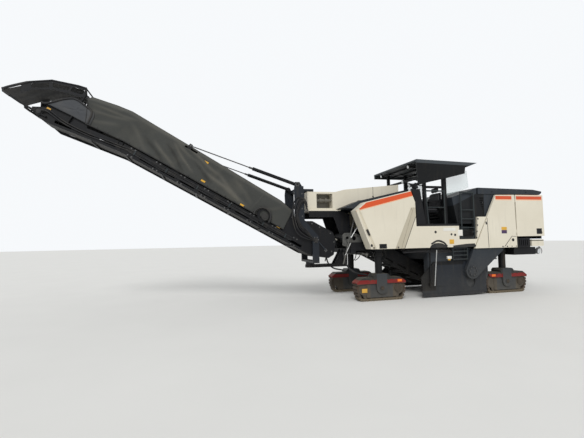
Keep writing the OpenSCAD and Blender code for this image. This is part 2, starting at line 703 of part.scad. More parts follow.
module side_plate_right() mirror([0, 1, 0]) side_plate(false);

// Tracks: the outline of the shoes' tips, from the middle of the ground run round to the top

ground_x = 530;
wheel_x = track_len / 2 - wheel_r;
wheel_z = track_h - wheel_r;
side_v = [wheel_x - ground_x, wheel_z - ground_r];
side_n = atan2(side_v[1], side_v[0]) - acos((ground_r - wheel_r) / norm(side_v));
len_flat = ground_x;
len_toe = ground_r * (side_n + 90) * PI / 180;
len_side = sqrt(norm(side_v) * norm(side_v) - (ground_r - wheel_r) * (ground_r - wheel_r));
len_wheel = wheel_r * (90 - side_n) * PI / 180;
half_loop = len_flat + len_toe + len_side + len_wheel + wheel_x;

function spot(c, r, a, inset) = [c[0] + (r - inset) * cos(a), c[1] + (r - inset) * sin(a)];

// A point of the loop at distance s along its front half, moved inwards by inset
function half_point(s, inset) =
    s < len_flat ? [s, inset] :
    s < len_flat + len_toe ?
        spot([ground_x, ground_r], ground_r, -90 + (s - len_flat) / ground_r * 180 / PI, inset) :
    s < len_flat + len_toe + len_side ?
        let (t = (s - len_flat - len_toe) / len_side)
        spot([ground_x, ground_r], ground_r, side_n, inset) * (1 - t)
            + spot([wheel_x, wheel_z], wheel_r, side_n, inset) * t :
    s < half_loop - wheel_x ?
        spot([wheel_x, wheel_z], wheel_r,
             side_n + (s - len_flat - len_toe - len_side) / wheel_r * 180 / PI, inset) :
    [half_loop - s, track_h - inset];

function loop_point(s, inset) =
    s <= half_loop ? half_point(s, inset) :
    let (p = half_point(2 * half_loop - s, inset)) [-p[0], p[1]];

shoe_pitch = 2 * half_loop / shoe_count;
shoe_gap = 0.3;

module track_loop() rotate([90, 0, 0]) difference() {
    translate([0, 0, -shoe_w / 2]) linear_extrude(shoe_w) polygon([
        for (i = [0 : shoe_count - 1])
            for (c = [[0, shoe_h], [0, 0], [1 - shoe_gap, 0], [1 - shoe_gap, shoe_h]])
                loop_point((i + c[0]) * shoe_pitch, c[1])]);
    translate([0, 0, -shoe_w / 2 - 1]) linear_extrude(shoe_w + 2) polygon([
        for (i = [0 : 2 * shoe_count - 1]) loop_point(i * shoe_pitch / 2, shoe_h + chain_t)]);
}

// The frame inside the loop, its wheels on the loop's inner side, and the yoke that carries the leg
yoke_z = 700;
yoke_in = shoe_w / 2 + 5;
yoke_t = 40;
track_inset = shoe_h + chain_t;
wheel_seat = (wheel_r - track_inset) * cos(shoe_pitch / 4 / wheel_r * 180 / PI) - skin;
roller_r = 62;

module track_frame(front_reach) {
    for (x = [-wheel_x, wheel_x])
        translate([x, shoe_w / 2 - 10, wheel_z]) rotate([90, 0, 0]) cylinder(h = shoe_w - 20, r = wheel_seat);
    for (x = [-ground_x + 80 : 180 : ground_x - 79])
        translate([x, shoe_w / 2 - 20, track_inset + skin + roller_r]) rotate([90, 0, 0])
            cylinder(h = shoe_w - 40, r = roller_r);
    slab([[-430, 110], [-370, 90], [370, 90], [430, 110], [430, 420], [300, track_h - track_inset - 12],
          [-300, track_h - track_inset - 12], [-430, 420]], [-shoe_w / 2, shoe_w / 2]);
    translate([-wheel_x, shoe_w / 2 + 20, wheel_z]) rotate([90, 0, 0]) cylinder(h = shoe_w + 40, d = 210);
    translate([0, yoke_in + yoke_t + 12, 330]) rotate([90, 0, 0])
        cylinder(h = 2 * (yoke_in + yoke_t + 12), d = 120);
    both_sides() {
        slab([[-150, 330], [150, 330], [150, 520], [230, 600], [230, 650], [180, yoke_z], [-180, yoke_z],
              [-230, 650], [-230, 600], [-150, 520]], [yoke_in, yoke_in + yoke_t]);
        translate([0, yoke_in + yoke_t, 330]) rotate([90, 0, 0]) cylinder(h = yoke_t, r = 150);
    }
    slab([[-230, 600], [230, 600], [230, 650], [180, yoke_z], [-180, yoke_z], [-230, 650]],
         [-yoke_in - 1, yoke_in + 1]);
    track_cover(front_reach);
    mirror([1, 0, 0]) track_cover(cover_reach);
    translate([0, 0, yoke_z - 1]) cylinder(h = guide_z + 150 - yoke_z, d = leg_d);
    difference() {
        union() {
            translate([0, 0, tie_z - 45]) cylinder(h = 70, d = leg_d + 70);
            box([0, arm_len], [-45, 45], [tie_z - 45, tie_z - 5 - tie_d / 2]);
        }
        translate([arm_len, 0, tie_z - 100]) cylinder(h = 200, d = 30.1);
    }
}

// A cover over the end of a track, as far as reach; the rear tracks' front ones are shorter
cover_reach = 700;
cover_short = 620;
module track_cover(reach) {
    tip_z = reach == cover_reach ? 490 : 552;
    slab([[149, track_h + 9], [149, 600], [reach - 150, 600], [reach, tip_z], [reach - 8, tip_z - 28],
          [reach - 140, track_h + 9]], [-yoke_in - 31, yoke_in + 31]);
    both_sides() slab([[149, 450], [149, 600], [reach - 150, 600], [reach, tip_z], [reach - 10, tip_z - 60],
                       [reach - 150, 450]], [yoke_in, yoke_in + 31]);
}

module at_leg(x, side) translate([x - origin_x, side * track_gauge / 2, 0]) children();

module track_frame_fl() color([0.2, 0.2, 0.22]) at_leg(0, 1) track_frame(cover_reach);
module track_loop_fl() color([0.33, 0.3, 0.27]) at_leg(0, 1) track_loop();
module track_frame_fr() color([0.2, 0.2, 0.22]) at_leg(0, -1) track_frame(cover_reach);
module track_loop_fr() color([0.33, 0.3, 0.27]) at_leg(0, -1) track_loop();
module track_frame_rl() color([0.2, 0.2, 0.22]) at_leg(-wheelbase, 1) track_frame(cover_short);
module track_loop_rl() color([0.33, 0.3, 0.27]) at_leg(-wheelbase, 1) track_loop();
module track_frame_rr() color([0.2, 0.2, 0.22]) at_leg(-wheelbase, -1) track_frame(cover_short);
module track_loop_rr() color([0.33, 0.3, 0.27]) at_leg(-wheelbase, -1) track_loop();

module tie_rod(x) color([0.3, 0.3, 0.32]) translate([x - origin_x, 0, 0]) {
    bar([0, -track_gauge / 2, tie_z], [0, track_gauge / 2, tie_z], tie_d);
    both_sides() {
        translate([0, track_gauge / 2, tie_z - tie_d / 2 - 4]) cylinder(h = tie_d + 8, d = 80);
        translate([0, track_gauge / 2, tie_z - 80]) cylinder(h = 80, d = 30);
    }
}
module tie_rod_front() tie_rod(arm_len);
module tie_rod_rear() tie_rod(arm_len - wheelbase);

// Slewing mast

yoke_low = 1000;

module slew_mast() color([0.22, 0.24, 0.27]) placed() {
    both_sides() difference() {
        slab([[slew_x - 90, yoke_low], [slew_x - 90, 1700], [slew_x + 300, 2150], [slew_x + 300, 2960],
              [slew_x + mast_dx - 60, mast_z + 60], [slew_x + mast_dx + 60, mast_z + 60],
              [slew_x + mast_dx + 90, 2950], [slew_x + mast_dx + 60, 2150], [slew_x + 90, 1620],
              [slew_x + 90, yoke_low]], [mast_half, mast_half + mast_t]);
        translate([slew_x, mast_half + mast_t + 1, luff_z]) rotate([90, 0, 0])
            cylinder(h = mast_t + 2, d = 90.1);
        translate([slew_x + mast_dx, mast_half + mast_t + 1, mast_z]) rotate([90, 0, 0])
            cylinder(h = mast_t + 2, d = 50.1);
    }
    box([slew_x - 90, slew_x + 90], [-mast_half, mast_half], [yoke_low, yoke_low + 60]);
    box([slew_x + 300, slew_x + 400], [-mast_half, mast_half], [2960, 3060]);
    translate([slew_x, 0, bracket_z[0]]) cylinder(h = yoke_low - bracket_z[0], d = pivot_d - 2 * pivot_fit);
    translate([slew_x, 0, bracket_z[1] + skin]) cylinder(h = yoke_low - bracket_z[1] - skin, d = 240);
    box([slew_x - 80, slew_x + 300], [-200, 200], [2960, 3030]);
    translate([slew_x, 0, 2850]) cylinder(h = 110, d = pivot_d - 2 * pivot_fit);
    translate([slew_x, 0, 2930 + skin]) cylinder(h = 30 - skin, d = 240);
}

anchor = [slew_x + anchor_u * cos(rake) - anchor_w * sin(rake), luff_z + anchor_u * sin(rake)
    + anchor_w * cos(rake)];
head = [slew_x + mast_dx, mast_z];
stay_v = anchor - head;
stay_a = atan2(stay_v[1], stay_v[0]);
stay_len = norm(stay_v);
stay_y = mast_half - 60;

module on_stay() placed() translate([head[0], 0, head[1]]) rotate([0, -stay_a, 0]) children();

module luff_barrels() color([0.15, 0.15, 0.16]) on_stay() both_sides() difference() {
    union() {
        translate([30, stay_y, 0]) rotate([0, 90, 0]) cylinder(h = luff_len - 30, d = luff_d);
        translate([0, stay_y + 40, 0]) rotate([90, 0, 0]) cylinder(h = 80, d = 110);
        translate([0, mast_half + mast_t, 0]) rotate([90, 0, 0])
            cylinder(h = mast_half + mast_t - stay_y, d = 50);
    }
    translate([220, stay_y, 0]) rotate([0, 90, 0]) cylinder(h = luff_len, d = 50.1);
}

module luff_rods() color([0.5, 0.5, 0.52]) on_stay() both_sides() {
    translate([310, stay_y, 0]) rotate([0, 90, 0]) cylinder(h = luff_len - 310 + 100, d = 50);
    translate([luff_len + 90, stay_y, 0]) rotate([0, 90, 0])
        cylinder(h = stay_len - luff_len - 90 - 35, d = 28);
    translate([stay_len, stay_y, 0]) rotate([90, 0, 0]) difference() {
        cylinder(h = 24, r = 42, center = true);
        cylinder(h = 30, r = 22, center = true);
    }
}

// Discharge conveyor, along its own slope

module on_conveyor() placed() translate([slew_x, 0, luff_z]) rotate([0, -rake, 0]) children();

bend = [bend_u, -conv_low];
head_dir = [cos(bend_a), -sin(bend_a)];
head_nor = [sin(bend_a), cos(bend_a)];
function at_head(u, w) = bend + u * head_dir + w * head_nor;

rail_t = 40;
rail_in = conv_w / 2 - rail_t;
between = [-rail_in + skin, rail_in - skin];
tail_c = [-215, -conv_low + 140];
head_c = at_head(1880, 165);

// One side of the conveyor: separate plates for the hopper, both rails and the head
module conveyor_side() {
    slab([[-566, -258], [-323 - skin, -336], [-323 - skin, -conv_low + rail_h + skin],
          [900, -conv_low + rail_h + skin], [900, 280], [520, 290], [300, 410], [-350, 420],
          [-544, 256], [-654, -106]],
         [rail_in, conv_w / 2]);
    translate([0, rail_in, 0]) rotate([-90, 0, 0]) cylinder(h = mast_half + mast_t - rail_in, d = 90);
    difference() {
        slab([[-323, -336], [0, -conv_low], bend, [bend_u, -conv_low + rail_h],
              [-323, -conv_low + rail_h]], [rail_in, conv_w / 2]);
        for (u = [260 : 520 : bend_u - 400])
            box([u, u + 400], [0, conv_w], [-conv_low + 60, -conv_low + 125]);
    }
    difference() {
        slab([at_head(skin, 0), at_head(1700, 0), at_head(2058, 137), at_head(2058, rail_h),
              at_head(skin, rail_h)], [rail_in, conv_w / 2]);
        for (u = [140, 640, 1140])
            slab([at_head(u, 60), at_head(u + 380, 60), at_head(u + 380, 125), at_head(u, 125)], [0, conv_w]);
    }
    slab([at_head(860, rail_h + skin), [6190, -220], [6250, 60], [6450, 120], [6700, 140], [6900, 0],
          [7120, -250], [7140, -340], at_head(2050, rail_h + skin)], [rail_in + 10, conv_w / 2 - 10]);
    slab([[anchor_u - 90, -250], [anchor_u + 90, -250], [anchor_u + 40, anchor_w + 40],
          [anchor_u - 40, anchor_w + 40]], [stay_y + 14, stay_y + 34]);
    fold_pivot();
}

// The pivot about which the head of the conveyor folds for transport
module fold_pivot() {
    difference() {
        translate([1540, cover_half + 30, -88]) rotate([90, 0, 0]) cylinder(h = 30 - skin, d = 340);
        translate([1540, cover_half + 60, -88]) rotate([90, 0, 0]) cylinder(h = 100, d = 230);
    }
    box([1490, 1590], [conv_w / 2 + skin, cover_half + 30], [-300, -210]);
}

module conveyor_frame() color([0.14, 0.14, 0.15]) on_conveyor() {
    both_sides() conveyor_side();
    for (u = [400 : 950 : bend_u]) box([u, u + 60], between, [-conv_low, -conv_low + 25]);
    slab([at_head(700, 0), at_head(760, 0), at_head(760, 22), at_head(700, 22)], between);
    slab([[-650, -104], [-625, -112], [-518, 247], [-540, 255]], between);
    slab([[-566, -258], [-330, -334], [-330, -322], [-560, -246]], between);
}

// Outline of the belt round its two drums, moved inwards by inset
function belt_outline(inset) = let (r = belt_r - inset) concat(
    [for (a = [90 : 15 : 270]) tail_c + r * [cos(a), sin(a)]],
    [[bend_u + r * tan(bend_a / 2) * -1, tail_c[1] - r]],
    [for (a = [-90 : 15 : 90]) head_c + r * [cos(a - bend_a), sin(a - bend_a)]],
    [[bend_u + 8 + r * tan(bend_a / 2), tail_c[1] + r]]);

drum_seat = (belt_r - belt_t) * cos(7.5) - skin;

module conveyor_belt() color([0.1, 0.1, 0.1]) on_conveyor() {
    difference() {
        slab(belt_outline(0), [-400, 400]);
        slab(belt_outline(belt_t), [-401, 401]);
    }
    for (c = [tail_c, head_c])
        translate([c[0], -between[0], c[1]]) rotate([90, 0, 0]) cylinder(h = 2 * between[1], r = drum_seat);
    for (u = [500 : 950 : bend_u])
        translate([u, between[1], tail_c[1] + belt_r - belt_t - skin - 35]) rotate([90, 0, 0])
            cylinder(h = 2 * between[1], r = 35);
}

cover_half = conv_w / 2 + 40;
cover_t = 20;
shoulder_a = 43;
// Height of the cover's ridge along the conveyor, its front edge and its hem
cover_ridge = [[905, 415], [1290, 496], [2880, 540], [5560, 600], [5900, 550], [6480, 422]];
cover_hem = [[6230, -250], [bend_u + 60, -180], [905, -180]];
hoop_t = 20;

// A side view outline under the ridge, with its upper edges sloped off on both sides
module shouldered(ridge, rest, half) difference() {
    slab(concat(ridge, rest), [-half, half]);
    both_sides() for (i = [0 : len(ridge) - 2]) let (v = ridge[i + 1] - ridge[i])
        translate([ridge[i][0], half - 140, ridge[i][1]]) rotate([0, -atan2(v[1], v[0]), 0])
            rotate([-shoulder_a, 0, 0]) translate([-7000, 0, 0]) cube([14000, 400, 400]);
}

// The point at u on the line through p and q
function on_line(p, q, u) = [u, p[1] + (q[1] - p[1]) * (u - p[0]) / (q[0] - p[0])];

// The ridge of the cover's inside, drawn out at both ends to u0 and u1
function cover_inside(u0, u1) = let (r = cover_ridge, n = len(r) - 1)
    [for (i = [0 : n]) (i == 0 ? on_line(r[0], r[1], u0) : i == n ? on_line(r[n - 1], r[n], u1) : r[i])
        - [0, cover_t]];

hoop_in = 6;

// A hoop under the cover, set a little into it, with a leg on each side
module hoop(u) {
    top = lookup(u, cover_ridge) - cover_t + hoop_in;
    half = cover_half - cover_t + hoop_in;
    inner = half - hoop_in - hoop_t + skin;
    shoulder = 140;
    drop = shoulder * tan(shoulder_a);
    translate([u, 0, 0]) rotate([90, 0, 90]) linear_extrude(40) difference() {
        polygon([[half, -300], [half, top - drop], [half - shoulder, top], [shoulder - half, top],
                 [-half, top - drop], [-half, -300]]);
        polygon([[inner, -301], [inner, top - drop - 12], [inner - shoulder + 12, top - hoop_t - hoop_in],
                 [shoulder - 12 - inner, top - hoop_t - hoop_in], [-inner, top - drop - 12], [-inner, -301]]);
    }
}

module conveyor_cover() color([0.28, 0.27, 0.26]) on_conveyor() {
    difference() {
        shouldered(cover_ridge, cover_hem, cover_half);
        shouldered(cover_inside(700, 6700), [[6700, -600], [700, -600]], cover_half - cover_t);
        both_sides() box([anchor_u - 260, anchor_u + 110], [stay_y - 30, stay_y + 50], [300, 800]);
    }
    for (u = [1400 : 1000 : 5400]) hoop(u);
}

guard_d = 45;
guard_y = conv_w / 2 + guard_d / 2 + skin;

// The guard round the head: a loop of tube on each side with a slotted plate in it, joined across
guard_loop = [[6560, -440], [6560, 370], [6640, 500], [6800, 460], [7317, 266], [7680, -20], [8042, -435],
    [8000, -485], [7600, -530], [7000, -540]];
guard_slots = [
    [[6630, 440], [6790, 405], [6880, 372], [6880, 255], [6630, 325]],
    [[6930, 355], [7285, 222], [7215, 142], [6930, 240]],
    [[7345, 185], [7630, -38], [7560, -115], [7285, 95]]];

module head_guard() color([0.1, 0.1, 0.1]) on_conveyor() {
    both_sides() {
        tube([for (p = guard_loop) [p[0], guard_y, p[1]]], guard_d);
        difference() {
            slab(concat([for (i = [1 : 5]) guard_loop[i]],
                        [[7790, -146], [7700, -330], [7520, -120], [7180, 100], [6560, 280]]),
                 [guard_y - 8, guard_y + 8]);
            for (s = guard_slots) slab(s, [guard_y - 20, guard_y + 20]);
        }
    }
    for (p = [guard_loop[2], guard_loop[4], guard_loop[6]])
        bar([p[0], -guard_y, p[1]], [p[0], guard_y, p[1]], 32);
}

main_frame();
nose_brackets();
leg_guides();
drum_housing();
belt_case();
primary_conveyor();
feed_skirt();
suction_duct();
front_panels();
hood_cover();
platform();
ladders();
side_panels();
rear_panels();
rear_grille();
engine_hood();
engine();
guard_rails();
seats();
consoles();
canopy_posts();
canopy_roof();
canopy_glass();
rear_bumper();
battery_box();
hood_lid();
rear_door_left();
rear_door_right();
milling_drum();
side_plate_left();
side_plate_right();
track_frame_fl();
track_loop_fl();
track_frame_fr();
track_loop_fr();
track_frame_rl();
track_loop_rl();
track_frame_rr();
track_loop_rr();
tie_rod_front();
tie_rod_rear();
slew_mast();
luff_barrels();
luff_rods();
conveyor_frame();
conveyor_belt();
conveyor_cover();
head_guard();
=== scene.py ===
import math

import bmesh
import bpy
from mathutils import Matrix, Vector


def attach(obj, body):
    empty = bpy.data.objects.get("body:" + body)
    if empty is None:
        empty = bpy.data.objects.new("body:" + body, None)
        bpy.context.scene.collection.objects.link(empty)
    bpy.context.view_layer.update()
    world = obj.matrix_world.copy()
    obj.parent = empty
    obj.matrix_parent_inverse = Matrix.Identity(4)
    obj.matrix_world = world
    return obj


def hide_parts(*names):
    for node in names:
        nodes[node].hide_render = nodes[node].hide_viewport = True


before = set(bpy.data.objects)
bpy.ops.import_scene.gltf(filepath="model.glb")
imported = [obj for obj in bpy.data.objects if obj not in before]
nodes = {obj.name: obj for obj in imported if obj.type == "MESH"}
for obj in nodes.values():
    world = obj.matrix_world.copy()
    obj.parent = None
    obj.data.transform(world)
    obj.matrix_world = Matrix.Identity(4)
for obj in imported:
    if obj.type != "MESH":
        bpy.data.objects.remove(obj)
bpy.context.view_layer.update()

frontX = 1.77  # from the middle of the machine to the front track centre
rearX = -3.976  # rear track centre, counted from the front one


def spot(x, y, z):  # metres, X from the front track centre
    return Vector((x - frontX, y, z))


# The photo was taken from beside the conveyor, a little behind its foot
camera = {"x": 4.597, "y": 9.745, "z": 1.642, "yaw": -14.262, "pitch": 3.234, "roll": -1.072,
          "reach": 361.35, "width": 584}


def makeCamera(c):
    lens = bpy.data.cameras.new("photoLens")
    lens.sensor_width = 36
    lens.lens = c["reach"] * 36 / c["width"]
    lens.clip_end = 300
    yaw, pitch, roll = (math.radians(c[k]) for k in ("yaw", "pitch", "roll"))
    ahead = Vector((math.sin(yaw), -math.cos(yaw), 0))
    right = Vector((-math.cos(yaw), -math.sin(yaw), 0))
    up = Vector((0, 0, 1))
    forward = ahead * math.cos(pitch) + up * math.sin(pitch)
    over = up * math.cos(pitch) - ahead * math.sin(pitch)
    right, over = (right * math.cos(roll) + over * math.sin(roll),
                   over * math.cos(roll) - right * math.sin(roll))
    holder = bpy.data.objects.new("photoCamera", lens)
    place = Matrix((right, over, -forward)).transposed().to_4x4()
    place.translation = spot(c["x"], c["y"], c["z"])
    holder.matrix_world = place
    bpy.context.scene.collection.objects.link(holder)
    bpy.context.scene.camera = holder


makeCamera(camera)
print("camera is set")


class Wire:  # a shader socket that can stand in a sum
    def __init__(self, tree, socket):
        self.tree, self.socket = tree, socket

    def sum(self, how, *parts):
        made = self.tree.nodes.new("ShaderNodeMath")
        made.operation = how
        for slot, part in zip(made.inputs, parts):
            plug(self.tree, slot, part)
        return Wire(self.tree, made.outputs[0])

    def __add__(self, other):
        return self.sum("ADD", self, other)

    def __sub__(self, other):
        return self.sum("SUBTRACT", self, other)

    def __rsub__(self, other):
        return self.sum("SUBTRACT", other, self)

    def __mul__(self, other):
        return self.sum("MULTIPLY", self, other)

    def __gt__(self, other):
        return self.sum("GREATER_THAN", self, other)

    def __lt__(self, other):
        return self.sum("LESS_THAN", self, other)

    def __abs__(self):
        return self.sum("ABSOLUTE", self)

    def held(self):  # kept between 0 and 1
        return self.sum("MAXIMUM", self.sum("MINIMUM", self, 1.0), 0.0)

    __radd__ = __add__
    __rmul__ = __mul__


def plug(tree, slot, value):
    if isinstance(value, Wire):
        tree.links.new(value.socket, slot)
    else:
        slot.default_value = value


class Finish:
    def __init__(self, name):
        self.material = bpy.data.materials.new(name)
        self.material.use_nodes = True
        self.tree = self.material.node_tree
        self.shader = self.tree.nodes["Principled BSDF"]
        self.place = self.node("ShaderNodeTexCoord", out="Object")

    def node(self, kind, settings=None, slots=None, out=0):
        made = self.tree.nodes.new(kind)
        for key, value in (settings or {}).items():
            setattr(made, key, value)
        for key, value in (slots or {}).items():
            plug(self.tree, made.inputs[key], value)
        if isinstance(out, tuple):
            return [Wire(self.tree, made.outputs[o]) for o in out]
        return Wire(self.tree, made.outputs[out])

    def noise(self, size, detail, stretch=None):
        where = self.place
        if stretch:
            where = self.node("ShaderNodeMapping", slots={"Vector": where, "Scale": stretch})
        return self.node("ShaderNodeTexNoise", slots={"Vector": where, "Scale": size, "Detail": detail})

    def mix(self, share, first, second):
        return self.node("ShaderNodeMix", {"data_type": "RGBA"}, {0: share, 6: first, 7: second}, out=2)

    def parts(self, vector):
        return self.node("ShaderNodeSeparateXYZ", slots={0: vector}, out=("X", "Y", "Z"))

    def feed(self, **slots):
        for key, value in slots.items():
            plug(self.tree, self.shader.inputs[key.replace("_", " ")], value)

    def bump(self, height, depth, strength=0.5):
        made = self.node("ShaderNodeBump", slots={"Height": height, "Distance": depth, "Strength": strength})
        self.feed(Normal=made)


def tone(r, g, b):  # a colour as a picture gives it, 0 to 255
    return tuple(((v / 255 + 0.055) / 1.055) ** 2.4 if v > 10 else v / 3294.6 for v in (r, g, b)) + (1.0,)


roadDust = tone(150, 140, 122)


def paint(name, look, marks=None):
    f = Finish(name)
    x, y, z = f.parts(f.place)
    upward = f.parts(f.node("ShaderNodeNewGeometry", out="Normal"))[2]
    cloud = f.noise(1.1, 5)
    grime = f.noise(7.5, 6)
    fine = f.noise(46, 3)
    streak = f.noise(1.9, 5, stretch=(6, 6, 0.6))
    colour = f.mix((cloud * 2 - 0.5).held(), tone(*look["colour"]), tone(*look["shade"]))
    if marks:
        colour = marks(f, colour, x, y, z)
    runs = ((streak - 0.56) * 4).held() * look["streak"]
    colour = f.mix(runs, colour, tone(*look.get("dirt", (96, 88, 74))))
    low = ((look.get("dustTo", 1.6) - z) * 0.55).held() * (0.35 + grime)
    flat = (upward - 0.55).held() * 1.6 * (grime * 1.4)
    dust = ((low + flat) * look["dust"] + (fine - 0.5) * 0.12).held()
    colour = f.mix(dust, colour, roadDust)
    f.feed(Base_Color=colour, Roughness=(look["rough"] + dust * 0.4 + (fine - 0.5) * 0.12).held())
    f.shader.inputs["Coat Weight"].default_value = look.get("coat", 0.0)
    f.shader.inputs["Coat Roughness"].default_value = 0.25
    f.shader.inputs["Specular IOR Level"].default_value = look.get("shine", 0.25)
    f.bump(f.noise(150, 2) + grime * 0.5, 0.0006, 0.35)
    return f.material


# Marks and painted shade, by place: x, y and z in metres, x from the middle of the machine
def frontStripe(f, colour, x, y, z):  # orange along the upper edge of the front panels
    side = abs(y) > 1.238
    lower = 2.342 - (x + 1.019) * 0.2474
    edge = 2.562 - (x + 1.3) * 0.2366
    nose = 2.548 - (x + 1.3) * 0.79
    band = (z > lower) * (z < edge - 0.012) * (z < nose - 0.005) * side
    pale = (z > lower - 0.022) * (z < lower) * side
    colour = f.mix(band, colour, tone(214, 80, 26))
    colour = f.mix(pale * 0.75, colour, tone(236, 168, 118))
    return sideGroove(f, colour, x, y, z)


def sideGroove(f, colour, x, y, z):  # painted shade in the slanted groove up the side, and the dark seam behind it
    front = 0.463 * (2.43 - z) - 2.6
    rear = 0.4286 * (2.19 - z) - 2.73
    grooveShade = (x < front) * (x > rear) * (z < 2.43) * (abs(y) > 1.2)
    colour = f.mix(grooveShade * 0.6, colour, tone(160, 150, 126))
    seam = (x > rear - 0.02) * (x < rear) * (z < 2.19) * (abs(y) > 1.2)
    return f.mix(seam * 0.9, colour, tone(52, 48, 42))


def rearStripe(f, colour, x, y, z):  # orange between pale rims, on the rear panel and the door
    length = ((x < -5.312) * (x > -5.872) + (x < -6.03) * (x > -6.95)).held() * (abs(y) > 1.238)
    colour = f.mix((z > 2.676) * (z < 2.772) * length, colour, tone(206, 76, 28))
    rim = ((z > 2.648) * (z < 2.676) + (z > 2.796) * (z < 2.812)) * length
    return f.mix(rim.held() * 0.8, colour, tone(243, 190, 150))


def ductRecessShade(f, colour, x, y, z):  # painted shade inside the duct's side openings
    insideShade = (abs(y) < 0.392) * (z > 2.482) * (z < 2.878) * (x > -0.708) * (x < -0.252)
    return f.mix(insideShade * 0.85, colour, tone(40, 38, 34))


def roofMarks(f, colour, x, y, z):  # pale lip on top, near black side panel, dull underside
    colour = f.mix(abs(y) < 1.195, colour, tone(44, 48, 48))
    return f.mix(z - (x + 2.83) * 0.0206 > 3.652, colour, tone(70, 75, 79))


def hoodRecessShade(f, colour, x, y, z):  # painted shade in the recess behind the rails
    recessShade = (x > -5.0) * (z + (x + 4.12) * 0.45 < 2.56)
    return f.mix(recessShade * 0.92, colour, tone(17, 19, 21))


def plateShade(f, colour, x, y, z):  # painted shade in the open guide in front of the plate, and over it
    dark = ((x > -3.37) * (z > 0.19) + (z > 0.865) * (x > -4.27)).held()
    return f.mix(dark * 0.88, colour, tone(15, 16, 18))


def bumperMarks(f, colour, x, y, z):  # joint between the bumper's two bars
    return f.mix((z > 1.468) * (z < 1.49), colour, tone(30, 29, 27))


def trackMarks(middle):  # red covers over both ends, dark top, clay on the hub
    def marks(f, colour, x, y, z):
        out = abs(x - middle)
        end = out > 0.1495
        colour = f.mix((z < 0.45) * (out > 0.33) * 0.8, colour, tone(70, 62, 52))
        colour = f.mix((z > 0.552) * end, colour, tone(38, 40, 41))
        colour = f.mix(z > 0.702, colour, tone(17, 18, 20))
        wearAndShade = ((f.noise(9, 5) - 0.5) * 5).held() * 0.45
        red = f.mix(wearAndShade, tone(122, 14, 20), tone(66, 14, 17))
        return f.mix(end * (z > 0.4495) * (z < 0.552), colour, red)
    return marks


cream = {"colour": (226, 219, 201), "shade": (217, 209, 190), "streak": 0.12, "dust": 0.2, "rough": 0.38,
         "coat": 0.25, "dustTo": 1.75, "shine": 0.4}
slate = {"colour": (49, 54, 60), "shade": (41, 46, 52), "streak": 0.16, "dust": 0.2, "rough": 0.45,
         "dustTo": 1.3, "shine": 0.22}
ink = {"colour": (19, 20, 23), "shade": (27, 28, 31), "streak": 0.14, "dust": 0.16, "rough": 0.5,
       "dustTo": 1.2, "shine": 0.18}
midGrey = {"colour": (96, 96, 93), "shade": (80, 80, 78), "streak": 0.35, "dust": 0.35, "rough": 0.5}
trackFrame = dict(slate, dust=0.55, dustTo=0.75, streak=0.4, dirt=(88, 74, 58), colour=(58, 62, 66),
                  shine=0.2)
paints = {  # look, what it changes, marks and painted shade on it
    "creamPanels": (cream, {}, bumperMarks),
    "creamFront": (cream, {}, frontStripe),
    "creamSide": (cream, {}, sideGroove),
    "creamRear": (cream, {}, rearStripe),
    "ductPaint": (cream, {}, ductRecessShade),
    "yellowPlate": (cream, {"colour": (224, 172, 52), "shade": (208, 156, 44)}, None),
    "whitePlate": (cream, {"colour": (232, 230, 222), "shade": (220, 218, 208)}, None),
    "purplePaint": (cream, {"colour": (66, 40, 84), "shade": (56, 34, 72), "dust": 0.1}, None),
    "slatePaint": (slate, {}, None),
    "hoodPaint": (slate, {}, hoodRecessShade),
    "platePaint": (slate, {"colour": (38, 43, 50), "shade": (30, 34, 40), "dust": 0.17, "streak": 0.22,
                           "dustTo": 0.9}, plateShade),
    "mastPaint": (slate, {"colour": (34, 39, 46), "shade": (27, 31, 37)}, None),
    "inkPaint": (ink, {}, None),
    "railPaint": (ink, {"colour": (52, 58, 60), "shade": (40, 45, 47)}, None),
    "roofPaint": (ink, {"colour": (15, 16, 18), "shade": (19, 21, 23), "dust": 0.05}, roofMarks),
    "greyPaint": (midGrey, {}, None),
    "frontTrack": (trackFrame, {}, trackMarks(-frontX)),
    "rearTrack": (trackFrame, {}, trackMarks(rearX - frontX)),
}
finishes = {}
for name, (look, changes, marks) in paints.items():
    finishes[name] = paint(name, dict(look, **changes), marks)
print("paints are mixed")


def wornSteel(name, steel, clay, rust):
    f = Finish(name)
    z = f.parts(f.place)[2]
    lump = f.noise(16, 6)
    colour = f.mix(lump, tone(*steel), tone(*clay))
    colour = f.mix(((f.noise(5, 5) - 0.48) * 4).held() * 0.5, colour, tone(*rust))
    colour = f.mix(((0.14 - z) * 9).held() * 0.6, colour, tone(132, 120, 98))
    f.feed(Base_Color=colour, Roughness=(0.62 + lump * 0.3).held(), Metallic=0.25)
    f.bump(lump + f.noise(70, 3) * 0.5, 0.004)
    return f.material


def metal(name, colour, rough):
    f = Finish(name)
    brushed = f.noise(60, 4, stretch=(1, 1, 0.1))
    spots = f.noise(12, 5)
    f.feed(Base_Color=f.mix(((spots - 0.5) * 3).held() * 0.5, tone(*colour), tone(96, 92, 86)),
           Roughness=(rough + brushed * 0.2).held(), Metallic=0.9)
    f.bump(brushed, 0.0003, 0.2)
    return f.material


def rubber(name, colour):
    f = Finish(name)
    mottle = f.noise(20, 5)
    colour = f.mix(mottle, tone(*colour), tone(*[c * 1.5 + 6 for c in colour]))
    dusty = ((f.noise(3.1, 5) - 0.45) * 2).held() * 0.16
    f.feed(Base_Color=f.mix(dusty, colour, roadDust), Roughness=(0.55 + mottle * 0.3).held())
    f.bump(f.noise(240, 2) + mottle, 0.0008, 0.4)
    return f.material


def glass(name):
    f = Finish(name)
    film = f.noise(2.6, 4)
    f.feed(Base_Color=f.mix(film, tone(214, 228, 226), tone(196, 212, 210)),
           Roughness=(0.04 + film * 0.1).held(), Alpha=(0.2 + film * 0.1).held())
    f.shader.inputs["IOR"].default_value = 1.45
    f.material.blend_method = "BLEND"
    return f.material


